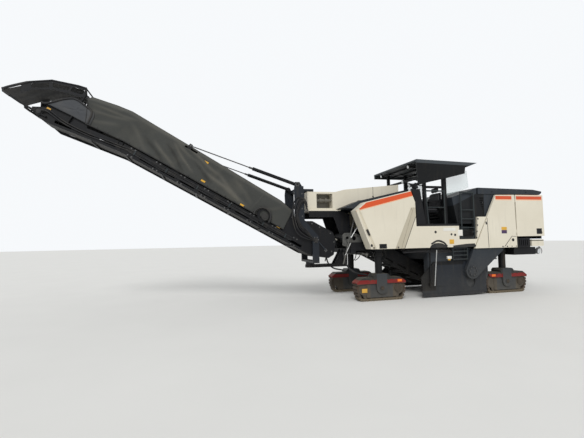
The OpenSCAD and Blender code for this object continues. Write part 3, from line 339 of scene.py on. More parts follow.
def lampGlass(name, colour, glow):
    f = Finish(name)
    ribs = f.node("ShaderNodeTexWave", slots={"Vector": f.place, "Scale": 32.0})
    f.feed(Base_Color=f.mix(ribs, tone(*colour), tone(*[c * 0.7 for c in colour])), Roughness=0.12)
    f.shader.inputs["Emission Strength"].default_value = glow
    f.feed(Emission_Color=tone(*colour))
    f.bump(ribs, 0.001, 0.3)
    return f.material


def leather(name):
    f = Finish(name)
    pores = f.node("ShaderNodeTexVoronoi", slots={"Vector": f.place, "Scale": 260.0})
    rub = f.noise(9, 4)
    f.feed(Base_Color=f.mix(rub, tone(26, 26, 29), tone(44, 44, 47)), Roughness=(0.45 + rub * 0.2).held())
    f.bump(pores, 0.0006)
    return f.material


def tarpCloth(name):
    f = Finish(name)
    flatPlace = f.node("ShaderNodeTexCoord", out="UV")
    across = f.parts(flatPlace)[1]
    weave = f.node("ShaderNodeTexWave", {"wave_type": "BANDS"}, {"Vector": flatPlace, "Scale": 90.0})
    crease = f.noise(2.2, 6, stretch=(1.0, 1.0, 2.2))
    # The fold height paints light and shade: lighter on the ridges, darker in the folds
    foldShading = f.node("ShaderNodeAttribute", {"attribute_name": "foldShading"}, out="Fac")
    layers = (((foldShading * 2 - 1).held() * 0.6, (104, 101, 93)),  # painted highlight on the fold ridges
              ((1 - foldShading * 2).held() * 0.8, (30, 29, 27)),  # painted shade in the folds
              ((1 - abs(abs(across) - 0.47) * 14).held() * 0.35, (112, 110, 102)),  # pale shoulder
              (((0.45 - abs(across)).held() * 2.2).held() * 0.4, (96, 94, 87)),  # painted light on the top
              ((1 - abs(abs(across) - 1.205) * 30).held() * 0.6, (40, 40, 38)),  # hem
              (((f.noise(1.7, 6) - 0.5) * 3).held() * 0.22, (124, 118, 104)))  # dust
    colour = f.mix((f.noise(0.9, 6) * 1.6 - 0.3).held(), tone(58, 59, 57), tone(72, 73, 70))
    for share, over in layers:
        colour = f.mix(share, colour, tone(*over))
    f.feed(Base_Color=colour, Roughness=(0.66 + crease * 0.2).held())
    f.shader.inputs["Specular IOR Level"].default_value = 0.2
    f.bump(crease * 1.0 + weave * 0.03, 0.02, 0.6)
    return f.material


recipes = {
    wornSteel: {"trackSteel": ((58, 53, 48), (88, 76, 62), (76, 50, 34)),
                "drumSteel": ((70, 64, 58), (96, 84, 70), (104, 64, 40))},
    metal: {"brightRod": ((196, 196, 194), 0.18), "boltSteel": ((92, 92, 92), 0.38)},
    rubber: {"blackRubber": ((20, 20, 21),), "beltRubber": ((28, 27, 26),), "hoseRubber": ((16, 16, 18),),
             "flapCloth": ((42, 44, 47),)},
    # the amber lens also goes on the reflectors, where its glow is a painted glint
    lampGlass: {"blackGlass": ((14, 16, 20), 0.02), "redLens": ((176, 16, 18), 0.08),
                "amberLens": ((250, 120, 30), 0.12), "clearLens": ((226, 230, 232), 0.05)},
    glass: {"clearGlass": ()},
    leather: {"seatLeather": ()},
    tarpCloth: {"tarpCloth": ()},
}
for recipe, kinds in recipes.items():
    for name, values in kinds.items():
        finishes[name] = recipe(name, *values)

wears = {
    "creamFront": ("front_panels",),
    "creamRear": ("rear_panels", "rear_door_left", "rear_door_right"),
    "creamPanels": ("rear_bumper",),
    "creamSide": ("side_panels",),
    "ductPaint": ("suction_duct",),
    "slatePaint": ("drum_housing", "belt_case", "hood_lid"),
    "hoodPaint": ("hood_cover", "engine_hood"),
    "platePaint": ("side_plate_left", "side_plate_right"),
    "mastPaint": ("slew_mast",),
    "railPaint": ("ladders", "guard_rails"),
    "inkPaint": ("main_frame", "leg_guides", "primary_conveyor", "feed_skirt", "platform", "rear_grille",
                 "consoles", "canopy_posts", "battery_box", "luff_barrels", "conveyor_frame", "head_guard",
                 "seats", "conveyor_cover"),
    "greyPaint": ("nose_brackets", "engine", "tie_rod_front", "tie_rod_rear"),
    "roofPaint": ("canopy_roof",),
    "clearGlass": ("canopy_glass",),
    "drumSteel": ("milling_drum",),
    "trackSteel": ("track_loop_fl", "track_loop_fr", "track_loop_rl", "track_loop_rr"),
    "frontTrack": ("track_frame_fl", "track_frame_fr"),
    "rearTrack": ("track_frame_rl", "track_frame_rr"),
    "boltSteel": ("luff_rods",),
    "beltRubber": ("conveyor_belt",),
}
for finish, names in wears.items():
    for name in names:
        materials = nodes[name].data.materials
        if not materials:
            materials.append(finishes[finish])
        for i in range(len(materials)):
            materials[i] = finishes[finish]
print("CAD nodes are painted")

# Studio: pale floor, soft light
studio = {"floor": (232, 231, 227), "sky": 0.62, "sun": 1.55, "sunTurn": (-44, 26, 0), "size": 90}


def makeStudio(s):
    mesh = bpy.data.meshes.new("floor")
    r = s["size"]
    mesh.from_pydata([(-r, -r, 0), (r, -r, 0), (r, r, 0), (-r, r, 0)], [], [(0, 1, 2, 3)])
    floor = bpy.data.objects.new("floor", mesh)
    bpy.context.scene.collection.objects.link(floor)
    f = Finish("paleFloor")
    darker = tone(*[c - 6 for c in s["floor"]])
    f.feed(Base_Color=f.mix(f.noise(0.7, 4), tone(*s["floor"]), darker), Roughness=0.9)
    mesh.materials.append(f.material)
    world = bpy.data.worlds.new("studioSky")
    bpy.context.scene.world = world
    world.use_nodes = True
    tree = world.node_tree
    tree.nodes.clear()
    rays = tree.nodes.new("ShaderNodeLightPath")
    seen = Wire(tree, rays.outputs["Is Camera Ray"])
    seen = seen.sum("MAXIMUM", seen, Wire(tree, rays.outputs["Is Glossy Ray"]) * 0.6)
    seen = seen.sum("MAXIMUM", seen, Wire(tree, rays.outputs["Is Transmission Ray"]))
    shown = tree.nodes.new("ShaderNodeBackground")
    shown.inputs["Color"].default_value = (0.93, 0.95, 0.97, 1)
    shown.inputs["Strength"].default_value = 1.0
    light = tree.nodes.new("ShaderNodeBackground")
    light.inputs["Color"].default_value = (0.96, 0.98, 1.0, 1)
    light.inputs["Strength"].default_value = s["sky"]
    both = tree.nodes.new("ShaderNodeMixShader")
    plug(tree, both.inputs[0], seen)
    tree.links.new(light.outputs[0], both.inputs[1])
    tree.links.new(shown.outputs[0], both.inputs[2])
    out = tree.nodes.new("ShaderNodeOutputWorld")
    tree.links.new(both.outputs[0], out.inputs[0])
    lamp = bpy.data.lights.new("softSun", "SUN")
    lamp.energy = s["sun"]
    lamp.angle = math.radians(25)
    holder = bpy.data.objects.new("softSun", lamp)
    holder.rotation_euler = [math.radians(a) for a in s["sunTurn"]]
    bpy.context.scene.collection.objects.link(holder)


makeStudio(studio)
bpy.context.scene.view_settings.view_transform = "Standard"
print("studio is lit")


# Small mesh tools
def keep(name, bm, body, finish, smooth=38):  # smooth: degrees, a sharper edge stays an edge
    bmesh.ops.remove_doubles(bm, verts=bm.verts, dist=1e-6)
    bmesh.ops.recalc_face_normals(bm, faces=bm.faces)
    mesh = bpy.data.meshes.new(name)
    bm.to_mesh(mesh)
    bm.free()
    return hang(name, mesh, body, finish, smooth)


def hang(name, mesh, body, finish, smooth):
    mesh.materials.clear()
    mesh.materials.append(finishes[finish])
    if smooth:
        mesh.shade_smooth()
        mesh.set_sharp_from_angle(angle=math.radians(smooth))
    piece = bpy.data.objects.new(name, mesh)
    bpy.context.scene.collection.objects.link(piece)
    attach(piece, body)
    return piece


def block(bm, corner, opposite, edge, turn=None, about=None):
    size = [max(abs(b - a), 1e-4) for a, b in zip(corner, opposite)]
    middle = (Vector(corner) + Vector(opposite)) / 2
    made = bmesh.ops.create_cube(bm, size=1)["verts"]
    bmesh.ops.scale(bm, vec=size, verts=made)
    bmesh.ops.translate(bm, vec=middle, verts=made)
    if edge:
        edges = {e for v in made for e in v.link_edges}
        grown = bmesh.ops.bevel(bm, geom=list(edges), offset=min(edge, min(size) * 0.4), segments=2,
                                affect="EDGES", profile=0.6)
        made = list({v for f in grown["faces"] for v in f.verts} | {v for v in made if v.is_valid})
    if turn is not None:
        bmesh.ops.rotate(bm, verts=made, cent=about, matrix=turn)


def circle(bm, middle, side, other, radius, sides):
    turns = [2 * math.pi * i / sides for i in range(sides)]
    ways = [(radius * math.cos(a), radius * math.sin(a)) for a in turns]
    return [bm.verts.new(middle + side * p + other * q) for p, q in ways]


def skin(bm, rings):  # closes rings of vertices into one solid
    for a, b in zip(rings, rings[1:]):
        for i in range(len(a)):
            j = (i + 1) % len(a)
            bm.faces.new((a[i], a[j], b[j], b[i]))
    bm.faces.new(rings[0][::-1])
    bm.faces.new(rings[-1])


def disc(bm, middle, along, radius, depth, sides, chamfer=0.15):
    along = Vector(along).normalized()
    side = along.orthogonal().normalized()
    c, half = min(chamfer * radius, depth * 0.45), depth / 2
    profile = ((radius - c, -half), (radius, c - half), (radius, half - c), (radius - c, half))
    skin(bm, [circle(bm, Vector(middle) + along * h, side, along.cross(side), r, sides) for r, h in profile])


def smoothPath(points, steps):
    out = []
    for i in range(len(points) - 1):
        a, b = points[i], points[i + 1]
        before = points[i - 1] if i else a * 2 - b
        after = points[i + 2] if i + 2 < len(points) else b * 2 - a
        for k in range(steps):
            t = k / steps
            out.append(0.5 * (2 * a + (b - before) * t + (2 * before - 5 * a + 4 * b - after) * t * t
                              + (3 * a - before - 3 * b + after) * t ** 3))
    return out + points[-1:]


def hose(bm, points, radius, sides, steps):
    path = [Vector(p) for p in points]
    if steps > 1:
        path = smoothPath(path, steps)
    side = (path[1] - path[0]).orthogonal().normalized()
    rings = []
    for i, p in enumerate(path):
        ahead = (path[min(i + 1, len(path) - 1)] - path[max(i - 1, 0)]).normalized()
        side = (side - ahead * side.dot(ahead)).normalized()
        rings.append(circle(bm, p, side, ahead.cross(side), radius, sides))
    skin(bm, rings)


def sheetPlate(bm, outline, out, back, front):  # a flat plate from its corners, thick along out
    out = Vector(out).normalized()
    skin(bm, [[bm.verts.new(Vector(p) + out * depth) for p in outline] for depth in (back, front)])


def box(u0, w0, u1, w1):  # corners of an upright rectangle
    return (u0, w0), (u1, w0), (u1, w1), (u0, w1)


# One mesh for both sides from what is listed for the left one. The corners of a plate leave out y, which
# follows them: they are (x, z) on the body and (u, w) on the conveyor
def twin(name, body, finish, put=spot, hoses=(), discs=(), plates=(), blocks=()):
    bm = bmesh.new()
    for side in (1, -1):
        for points, *shape in hoses:
            hose(bm, [put(x, side * y, z) for x, y, z in points], *shape)
        for (x, y, z), *shape in discs:
            disc(bm, put(x, side * y, z), (0, side, 0), *shape)
        for corners, y, back, front in plates:
            sheetPlate(bm, [put(x, side * y, z) for x, z in corners], (0, side, 0), back, front)
        for low, high, edge in blocks:
            block(bm, *(put(x, side * y, z) for x, y, z in (low, high)), edge)
    return keep(name, bm, body, finish)


# Geometry Nodes: one tree sets a small shape on every point of a piece, facing outwards
def seedTree(name, sizes, make, second=False):
    tree = bpy.data.node_groups.new(name, "GeometryNodeTree")
    face = tree.interface
    face.new_socket("Points", in_out="INPUT", socket_type="NodeSocketGeometry")
    sockets = {}
    for label, value in sizes.items():
        socket = face.new_socket(label, in_out="INPUT", socket_type="NodeSocketFloat")
        socket.default_value = value
        sockets[label] = socket.identifier
    finishSocket = face.new_socket("Finish", in_out="INPUT", socket_type="NodeSocketMaterial")
    face.new_socket("Shapes", in_out="OUTPUT", socket_type="NodeSocketGeometry")
    source = tree.nodes.new("NodeGroupInput").outputs
    sink = tree.nodes.new("NodeGroupOutput")

    def add(kind, settings=None, slots=None, out=0):
        made = tree.nodes.new(kind)
        for key, value in (settings or {}).items():
            setattr(made, key, value)
        for key, value in (slots or {}).items():
            for part in value if isinstance(value, list) else [value]:
                if hasattr(part, "is_output"):
                    tree.links.new(part, made.inputs[key])
                else:
                    made.inputs[key].default_value = part
        return made.outputs[out]

    def turned(axes, label, slots):
        wanted = add("GeometryNodeInputNamedAttribute", {"data_type": "FLOAT_VECTOR"}, {"Name": label},
                     "Attribute")
        return add("FunctionNodeAlignRotationToVector", axes, dict(slots, Vector=wanted))

    shape = make(add, source)
    turn = turned({"axis": "Z"}, "facing", {})
    if second:
        turn = turned({"axis": "X", "pivot_axis": "Z"}, "ahead", {"Rotation": turn})
    placed = add("GeometryNodeInstanceOnPoints", None,
                 {"Points": source["Points"], "Instance": shape, "Rotation": turn})
    real = add("GeometryNodeRealizeInstances", None, {0: placed})
    coloured = add("GeometryNodeSetMaterial", None, {"Geometry": real, "Material": source["Finish"]})
    tree.links.new(coloured, sink.inputs[0])
    return {"tree": tree, "sizes": sockets, "finish": finishSocket.identifier}


def tube(add, sides, radius, depth):
    return add("GeometryNodeMeshCylinder", None,
               {"Vertices": sides, "Radius": radius, "Depth": depth}, "Mesh")


def cone(add, sides, top, bottom, depth, lift):
    made = add("GeometryNodeMeshCone", None, {"Vertices": sides, "Radius Top": top, "Radius Bottom": bottom,
                                              "Depth": depth}, "Mesh")
    return add("GeometryNodeTransform", None, {"Geometry": made, "Translation": (0, 0, lift)})


def hexBolt(add, size):
    half = add("ShaderNodeMath", {"operation": "MULTIPLY"}, {0: size["Height"], 1: 0.5})
    offset = add("ShaderNodeCombineXYZ", None, {"Z": half})
    head = tube(add, 6, size["Head"], size["Height"])
    raised = add("GeometryNodeTransform", None, {"Geometry": head, "Translation": offset})
    return add("GeometryNodeJoinGeometry", None, {0: [raised, tube(add, 12, size["Washer"], 0.006)]})


def pickHead(add, size):  # holder, collar and pointed tip
    parts = [tube(add, 8, size["Holder"], 0.07), cone(add, 10, 0.016, size["Collar"], 0.06, 0.035),
             cone(add, 8, 0.001, size["Tip"], 0.03, 0.095)]
    return add("GeometryNodeJoinGeometry", None, {0: parts})


def eyelet(add, size):
    path, section = (add("GeometryNodeCurvePrimitiveCircle", {"mode": "RADIUS"},
                         {"Resolution": count, "Radius": size[label]}, "Curve")
                     for count, label in ((14, "Ring"), (6, "Wire")))
    return add("GeometryNodeCurveToMesh", None, {"Curve": path, "Profile Curve": section})


def bar(add, size):  # a slat, cleat or stud by its three sizes
    sides = add("ShaderNodeCombineXYZ", None, {"X": size["Length"], "Y": size["Width"], "Z": size["Height"]})
    return add("GeometryNodeMeshCube", None, {"Size": sides}, "Mesh")


trees = {
    "bolt": seedTree("boltHeads", {"Head": 0.016, "Height": 0.012, "Washer": 0.021}, hexBolt),
    "pick": seedTree("cuttingPicks", {"Holder": 0.042, "Collar": 0.03, "Tip": 0.012}, pickHead),
    "ring": seedTree("tarpEyelets", {"Ring": 0.022, "Wire": 0.005}, eyelet),
    "bar": seedTree("barsInRows", {"Length": 0.1, "Width": 0.02, "Height": 0.01}, bar, True),
}


# Places are (point, facing), with the way ahead as a third where it isn't X
def scatter(name, kind, places, body, finish, sizes=None):
    mesh = bpy.data.meshes.new(name)
    mesh.from_pydata([tuple(p[0]) for p in places], [], [])
    facing = mesh.attributes.new("facing", "FLOAT_VECTOR", "POINT")
    ahead = mesh.attributes.new("ahead", "FLOAT_VECTOR", "POINT")
    for i, p in enumerate(places):
        facing.data[i].vector = Vector(p[1]).normalized()
        ahead.data[i].vector = Vector(p[2] if len(p) > 2 else (1, 0, 0)).normalized()
    seeds = bpy.data.objects.new(name + "Seeds", mesh)
    bpy.context.scene.collection.objects.link(seeds)
    group = trees[kind]
    grower = seeds.modifiers.new("grow", "NODES")
    grower.node_group = group["tree"]
    for label, value in (sizes or {}).items():
        grower[group["sizes"][label]] = value
    grower[group["finish"]] = finishes[finish]
    bpy.context.view_layer.update()
    ready = seeds.evaluated_get(bpy.context.evaluated_depsgraph_get())
    grown = bpy.data.meshes.new_from_object(ready)
    grown.name = name
    bpy.data.objects.remove(seeds)
    return hang(name, grown, body, finish, 35)


# The conveyor's own directions: u along it, w square to it
rake = math.radians(29)
foot = (1.62, 1.62)
upConveyor = Vector((-math.sin(rake), 0, math.cos(rake)))
alongConveyor = Vector((math.cos(rake), 0, math.sin(rake)))


def onConveyor(u, y, w):
    return spot(foot[0] + u * math.cos(rake) - w * math.sin(rake), y,
                foot[1] + u * math.sin(rake) + w * math.cos(rake))


# Tarpaulin over the conveyor: one sheet from hem to hem over the hoops
tarp = {
    "along": 230, "across": 112, "half": 0.54, "shoulder": 0.14, "slope": 43, "thick": 0.003,
    "start": 0.905, "end": 6.23, "lean": 0.25,  # the front edge lies farther out at its top
    "top": 0.36, "wall": 0.44,  # shares of half the sheet where the top ends and the wall starts
    "ridge": ((0.905, 0.415), (1.29, 0.496), (2.88, 0.54), (5.56, 0.6), (5.9, 0.55), (6.48, 0.422)),
    "hem": ((0.905, -0.18), (5.35, -0.18), (6.23, -0.25)),
    "hoops": (1.42, 2.42, 3.42, 4.42, 5.42), "sagTop": 0.016, "sagWall": 0.014,
    # folds on a wall: from (u, w) to (u, w), height, half width
    "folds": ((4.2, 0.46, 3.39, 0.17, 0.017, 0.05), (3.39, 0.17, 2.3, -0.05, 0.015, 0.055),
              (4.05, 0.42, 3.1, 0.02, -0.013, 0.055), (3.95, 0.47, 3.05, 0.27, 0.013, 0.045),
              (3.05, 0.27, 2.02, -0.12, 0.012, 0.06), (4.3, 0.4, 3.62, -0.02, 0.012, 0.038),
              (4.72, 0.22, 4.02, -0.15, 0.012, 0.045), (4.95, 0.2, 4.3, -0.16, -0.009, 0.05),
              (4.42, 0.3, 3.8, -0.1, -0.01, 0.04), (5.35, 0.3, 4.75, -0.1, 0.007, 0.06),
              (6.32, 0.26, 5.3, 0.44, 0.009, 0.035), (6.3, 0.12, 5.45, 0.34, 0.008, 0.04),
              (6.25, -0.1, 5.6, 0.1, 0.006, 0.05), (2.6, 0.4, 1.95, 0.02, 0.006, 0.06),
              (1.78, 0.4, 1.9, -0.15, 0.004, 0.014), (1.2, 0.3, 1.75, -0.1, 0.005, 0.05)),
    "slot": ((3.74, 4.08), (0.458, 0.516)),
}


def lookAlong(pairs, u):
    for (a, va), (b, vb) in zip(pairs, pairs[1:]):
        if u <= b:
            return va + (vb - va) * max(u - a, 0) / (b - a)
    return pairs[-1][1]


def foldHeight(folds, u, w, seed):
    total = 0
    for i, (u0, w0, u1, w1, high, wide) in enumerate(folds):
        du, dw = u1 - u0, w1 - w0
        length = math.hypot(du, dw)
        t = ((u - u0) * du + (w - w0) * dw) / (length * length)
        off = ((u - u0) * dw - (w - w0) * du) / length
        if -0.2 < t < 1.2 and abs(off) < wide * 3.2:
            end = max(0.0, 1 - (2 * abs(t - 0.5)) ** 3 * 0.62)
            bend = off + math.sin(t * 5 + seed + i) * wide * 0.35
            total += high * end * math.exp(-(bend / wide) ** 2) * (1 - bend / wide * 0.8)
    return total


def tarpPoint(t, v, s):  # v along the sheet, s from -1 at the right hem to 1 at the left one
    side, part = (1 if s >= 0 else -1), abs(s)
    rise = 1 - min(max((part - t["wall"]) / (1 - t["wall"]), 0), 1)  # 0 at the hem, 1 at the shoulder
    u = t["start"] + (t["end"] + t["lean"] * rise - t["start"]) * v
    top, low = lookAlong(t["ridge"], u), lookAlong(t["hem"], u)
    slope = math.radians(t["slope"])
    drop = t["shoulder"] * math.tan(slope)
    sag = math.sin(min(min(abs(u - hoop) for hoop in t["hoops"]), 0.5) * math.pi) ** 2
    if part < t["top"]:
        y, w, out = part / t["top"] * (t["half"] - t["shoulder"]), top, (0, 1)
        shift = 0.012 * (1 - (y / 0.4) ** 2) - t["sagTop"] * sag * (1 - (y / 0.4) ** 4)
        fold = foldHeight(t["folds"], u, 0.62 + (0.4 - y) * 0.5, side) * 0.5
    else:
        if part < t["wall"]:
            k = (part - t["top"]) / (t["wall"] - t["top"])
            y, w = t["half"] - t["shoulder"] * (1 - k), top - drop * k
            out = (math.sin(slope), math.cos(slope))
        else:
            y, w, out = t["half"], top - drop + (low - top + drop) * (1 - rise), (1, 0)
        fold = foldHeight(t["folds"], u, w, side * 0.9)
        shift = -t["sagWall"] * sag * math.sin((w - low) / (top - low) * math.pi)
        shift += 0.004 * math.sin(u * 9.3 + side + w * 4) * math.sin(w * 11 + u * 2.1)
        if part > 0.975:  # the hem is stiffer
            shift *= 0.4
    shift = max(min(shift + fold, 0.024), -0.018)
    if u > 6.1:  # over the head's cheeks
        shift = max(shift, -0.006)
    if 3.66 < u < 4.12 and 0.4 < y:  # beside the slots
        shift = min(shift, 0.002)
    # the third value is the fold's height from 0 to 1, used for painted shade in the folds and a painted
    # highlight on the ridges
    return onConveyor(u, side * (y + out[0] * shift), w + out[1] * shift), u, min(max(0.5 + fold * 28, 0), 1)


def makeTarp(t):
    bm = bmesh.new()
    grid, flatPlace, foldShadings = [], {}, []
    for i in range(t["along"] + 1):
        line = []
        for j in range(t["across"] + 1):
            s = 2 * j / t["across"] - 1
            place, u, foldShading = tarpPoint(t, i / t["along"], s)
            vert = bm.verts.new(place)
            foldShadings.append(foldShading)
            flatPlace[vert] = (u, s * 1.21)
            line.append(vert)
        grid.append(line)
    (slotU0, slotU1), (slotY0, slotY1) = t["slot"]
    layer = bm.loops.layers.uv.new("flat")
    area = 0
    for a, b in zip(grid, grid[1:]):
        for j in range(t["across"]):
            corners = (a[j], b[j], b[j + 1], a[j + 1])
            u = sum(flatPlace[c][0] for c in corners) / 4
            y = sum(abs(c.co.y) for c in corners) / 4
            w = sum((c.co - onConveyor(0, 0, 0)).dot(upConveyor) for c in corners) / 4
            if slotU0 < u < slotU1 and slotY0 < y < slotY1 and w > 0.4:
                continue
            face = bm.faces.new(corners)
            area += face.calc_area()
            for corner in face.loops:
                corner[layer].uv = flatPlace[corner.vert]
    bmesh.ops.recalc_face_normals(bm, faces=bm.faces)
    middle = onConveyor(3.6, 0, 0.1)
    votes = sum((f.calc_center_median() - middle).dot(f.normal) > 0 for f in bm.faces)
    if votes < len(bm.faces) / 2:
        bmesh.ops.reverse_faces(bm, faces=bm.faces)
    mesh = bpy.data.meshes.new("tarpCover")
    bm.to_mesh(mesh)
    bm.free()
    # the fold heights drive the painted shade in the folds and the painted highlight on the ridges
    wearAndShade = mesh.attributes.new("foldShading", "FLOAT", "POINT")
    wearAndShade.data.foreach_set("value", foldShadings)
    piece = hang("tarpCover", mesh, "conveyor", "tarpCloth", 0)
    mesh.shade_smooth()
    wall = piece.modifiers.new("cloth", "SOLIDIFY")
    wall.thickness, wall.offset = t["thick"], -1
    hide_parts("conveyor_cover")
    return piece, area


tarpPiece, tarpArea = makeTarp(tarp)
print("tarpaulin is laid, flat area %.2f" % tarpArea)

# Hem rope, eyelets and the hoops that hold the sheet up
hemRope = {"radius": 0.009, "from": 0.915, "to": 6.222, "out": 0.548, "lift": 0.012, "sheetDrop": 0.13,
           "ringOut": 0.547, "ringLift": 0.04, "rings": 20, "firstRing": 1.05, "step": 0.26}


def makeHem(h):
    bm = bmesh.new()
    rings = []
    for side in (1, -1):
        line = []
        for k in range(40):
            u = h["from"] + (h["to"] - h["from"]) * k / 39
            line.append(onConveyor(u, side * h["out"], lookAlong(tarp["hem"], u) + h["lift"]))
        for rise in (0.1, 0.35, 0.62, 0.86):
            u = tarp["end"] + tarp["lean"] * rise
            low, high = lookAlong(tarp["hem"], u), lookAlong(tarp["ridge"], u) - h["sheetDrop"]
            line.append(onConveyor(u - 0.004, side * h["out"], low + (high - low) * rise))
        hose(bm, line, h["radius"], 8, 2)
        for k in range(h["rings"]):
            u = h["firstRing"] + h["step"] * k
            w = lookAlong(tarp["hem"], u) + h["ringLift"]
            rings.append((onConveyor(u, side * h["ringOut"], w), (0, side, 0)))
    rope = keep("tarpHem", bm, "conveyor", "blackRubber")
    holes = scatter("tarpEyelets", "ring", rings, "conveyor", "boltSteel",
                    {"Ring": 0.014, "Wire": 0.004})
    return [rope, holes]


hemPieces = makeHem(hemRope)
tarpArea / 5.45


def makeHoops():
    bm = bmesh.new()
    for u in tarp["hoops"]:
        top = lookAlong(tarp["ridge"], u) - 0.04
        half = [(-0.508, -0.3), (-0.508, top - 0.15), (-0.375, top - 0.02)]
        hose(bm, [onConveyor(u, y, w) for y, w in half + [(-y, w) for y, w in reversed(half)]], 0.0075, 8, 1)
    keep("tarpHoops", bm, "conveyor", "inkPaint")


makeHoops()

# Picks on the drum, in the same spiral as the holders
drum = {"x": -2.72, "z": 0.67, "reach": 0.36, "starts": 3, "picks": 14, "step": 26, "lean": 60, "lift": 0.072,
        "first": 0.04, "wide": 0.91}


def makePicks(d):
    places = []
    for side in (1, -1):
        for start in range(d["starts"]):
            for i in range(d["picks"]):
                turn = math.radians(start * 360 / d["starts"] + i * d["step"])
                lean = turn + math.radians(d["lean"])
                y = side * (d["first"] + i * d["wide"] / (d["picks"] - 1))
                way = Vector((math.sin(lean), 0, math.cos(lean)))
                base = spot(d["x"], y, d["z"]) + Vector((math.cos(turn), 0, -math.sin(turn))) * d["reach"]
                places.append((base + way * d["lift"], way))
    scatter("drumPicks", "pick", places, "milling_drum", "drumSteel")


makePicks(drum)


# Bolt heads, one mesh for each body
def row(put, side, a, b, count):
    a, b = (put(x, side * y, z) for x, y, z in (a, b))
    return [(a.lerp(b, i / (count - 1)), (0, side, 0)) for i in range(count)]


def ring(middle, radius, count, side):
    turns = [2 * math.pi * i / count for i in range(count)]
    return [(middle + Vector((-side * math.cos(a), 0, math.sin(a))) * radius, (0, side, 0)) for a in turns]


bolts = {  # rows on the left side: from, to, count; the conveyor's are (u, y, w)
    "chassis": (((-3.72, 1.2505, 1.33), (-4.18, 1.2505, 1.33), 4),
                ((0.28, 1.2505, 1.385), (-0.42, 1.2505, 1.385), 3),
                ((-2.86, 1.2405, 1.6), (-2.93, 1.2405, 2.12), 4),
                ((0.16, 0.6805, 1.58), (0.62, 0.6805, 1.75), 4),
                ((0.8, 0.6805, 1.75), (0.86, 0.6805, 1.5), 3)),
    "rail": ((0.45, 1.1, 1.75, 2.4, 3.05, 3.7, 4.35, 5.0), (-0.225, -0.41)),
    "stay": (3.927, 4.007),
    "tail": ((-0.5, 0.2), (-0.3, 0.36), (0.05, 0.36), (0.28, 0.34), (0.55, 0.24), (0.84, 0.23),
             (-0.56, -0.06)),
    "hub": (-0.6, -0.36, -0.2, 0.2, 0.34),
}
tracks = (("front_left", 0.0, 1), ("front_right", 0.0, -1),  # name, middle, side
          ("rear_left", rearX, 1), ("rear_right", rearX, -1))
caseFace = 1.2273  # outer face of the belt case, left side only


def makeBolts(b):
    chassis, conveyor, mast = ring(spot(drum["x"], caseFace, drum["z"]), 0.118, 8, 1), [], []
    for side in (1, -1):
        for line in b["chassis"]:
            chassis += row(spot, side, *line)
        stations, heights = b["rail"]
        for u in stations:
            for w in heights:
                conveyor += row(onConveyor, side, (u, 0.5005, w), (u + 0.1, 0.5005, w), 2)
        conveyor += [(onConveyor(u, side * 0.5005, w), (0, side, 0)) for u, w in b["tail"]]
        for u in b["stay"]:
            conveyor += row(onConveyor, side, (u, 0.4995, -0.03), (u, 0.4995, 0.2), 3)
        mast += ring(spot(1.62, side * 0.57, 1.62), 0.07, 6, side)
        mast += ring(spot(2.1, side * 0.57, 3.1), 0.046, 6, side)
        mast += row(spot, side, (1.98, 0.57, 2.25), (1.98, 0.57, 2.85), 4)
    for name, places, body in (("chassisBolts", chassis, "chassis"), ("conveyorBolts", conveyor, "conveyor"),
                               ("mastBolts", mast, "slewing_mast")):
        scatter(name, "bolt", places, body, "boltSteel")
    for corner, x, s in tracks:
        hubs = ring(spot(x - 0.475, s * 1.068, 0.315), 0.085, 10, s)
        hubs += ring(spot(x, s * 1.1045, 0.33), 0.042, 6, s)
        hubs += [(spot(x + dx, s * 1.0832, 0.545), (0, s, 0)) for dx in b["hub"]]
        scatter("trackBolts_" + corner, "bolt", hubs, "track_" + corner, "trackSteel",
                {"Head": 0.013, "Height": 0.01, "Washer": 0.017})


makeBolts(bolts)

# Pads on the shoes, in the loop's own path
loop = {"shoes": 38, "length": 1.42, "height": 0.55, "wheel": 0.235, "ground": 0.12, "flat": 0.53,
        "middle": 0.917, "apart": 0.055, "sunk": 0.0135}


def loopPoints(k):
    wheelX, wheelZ = k["length"] / 2 - k["wheel"], k["height"] - k["wheel"]
    across, rise = wheelX - k["flat"], wheelZ - k["ground"]
    lean = math.atan2(rise, across) - math.acos((k["ground"] - k["wheel"]) / math.hypot(across, rise))
    path = [(-k["flat"] + 2 * k["flat"] * i / 24, 0.0) for i in range(24)]
    arcs = ((k["flat"], k["ground"], k["ground"], -math.pi / 2, lean, 8),
            (wheelX, wheelZ, k["wheel"], lean, math.pi / 2, 16))
    for midX, midZ, radius, start, end, steps in arcs:
        for i in range(steps + 1):
            a = start + (end - start) * i / steps
            path.append((midX + radius * math.cos(a), midZ + radius * math.sin(a)))
    right = [p for p in path if p[0] >= 0]
    return right + [(-x, z) for x, z in reversed(right)]


def makeShoes(k):
    closed = loopPoints(k)
    closed.append(closed[0])
    lengths = [0.0]
    for a, b in zip(closed, closed[1:]):
        lengths.append(lengths[-1] + math.dist(a, b))
    for corner, x, s in tracks:
        pads = []
        for i in range(k["shoes"]):
            want = lengths[-1] * (i + 0.25) / k["shoes"]
            n = next(j for j in range(1, len(lengths)) if lengths[j] >= want)
            a, b = (Vector((p[0], 0, p[1])) for p in closed[n - 1:n + 1])
            place = a.lerp(b, (want - lengths[n - 1]) / max(lengths[n] - lengths[n - 1], 1e-6))
            way = (b - a).normalized()
            outward = Vector((way.z, 0, -way.x))
            for y in (k["apart"], -k["apart"]):
                pads.append((spot(x, s * k["middle"] + y, 0) + place - outward * k["sunk"], outward, way))
        scatter("shoePads_" + corner, "bar", pads, "track_" + corner, "trackSteel",
                {"Length": 0.03, "Width": 0.088, "Height": 0.026})


makeShoes(loop)

# Cleats on the conveyor's belt, which bends down towards the head
belt = {"from": 0.35, "count": 21, "step": 0.33, "top": -0.185, "bend": 5.29, "turn": 7.5, "slant": 0.42,
        "out": 0.18, "lift": 0.01}


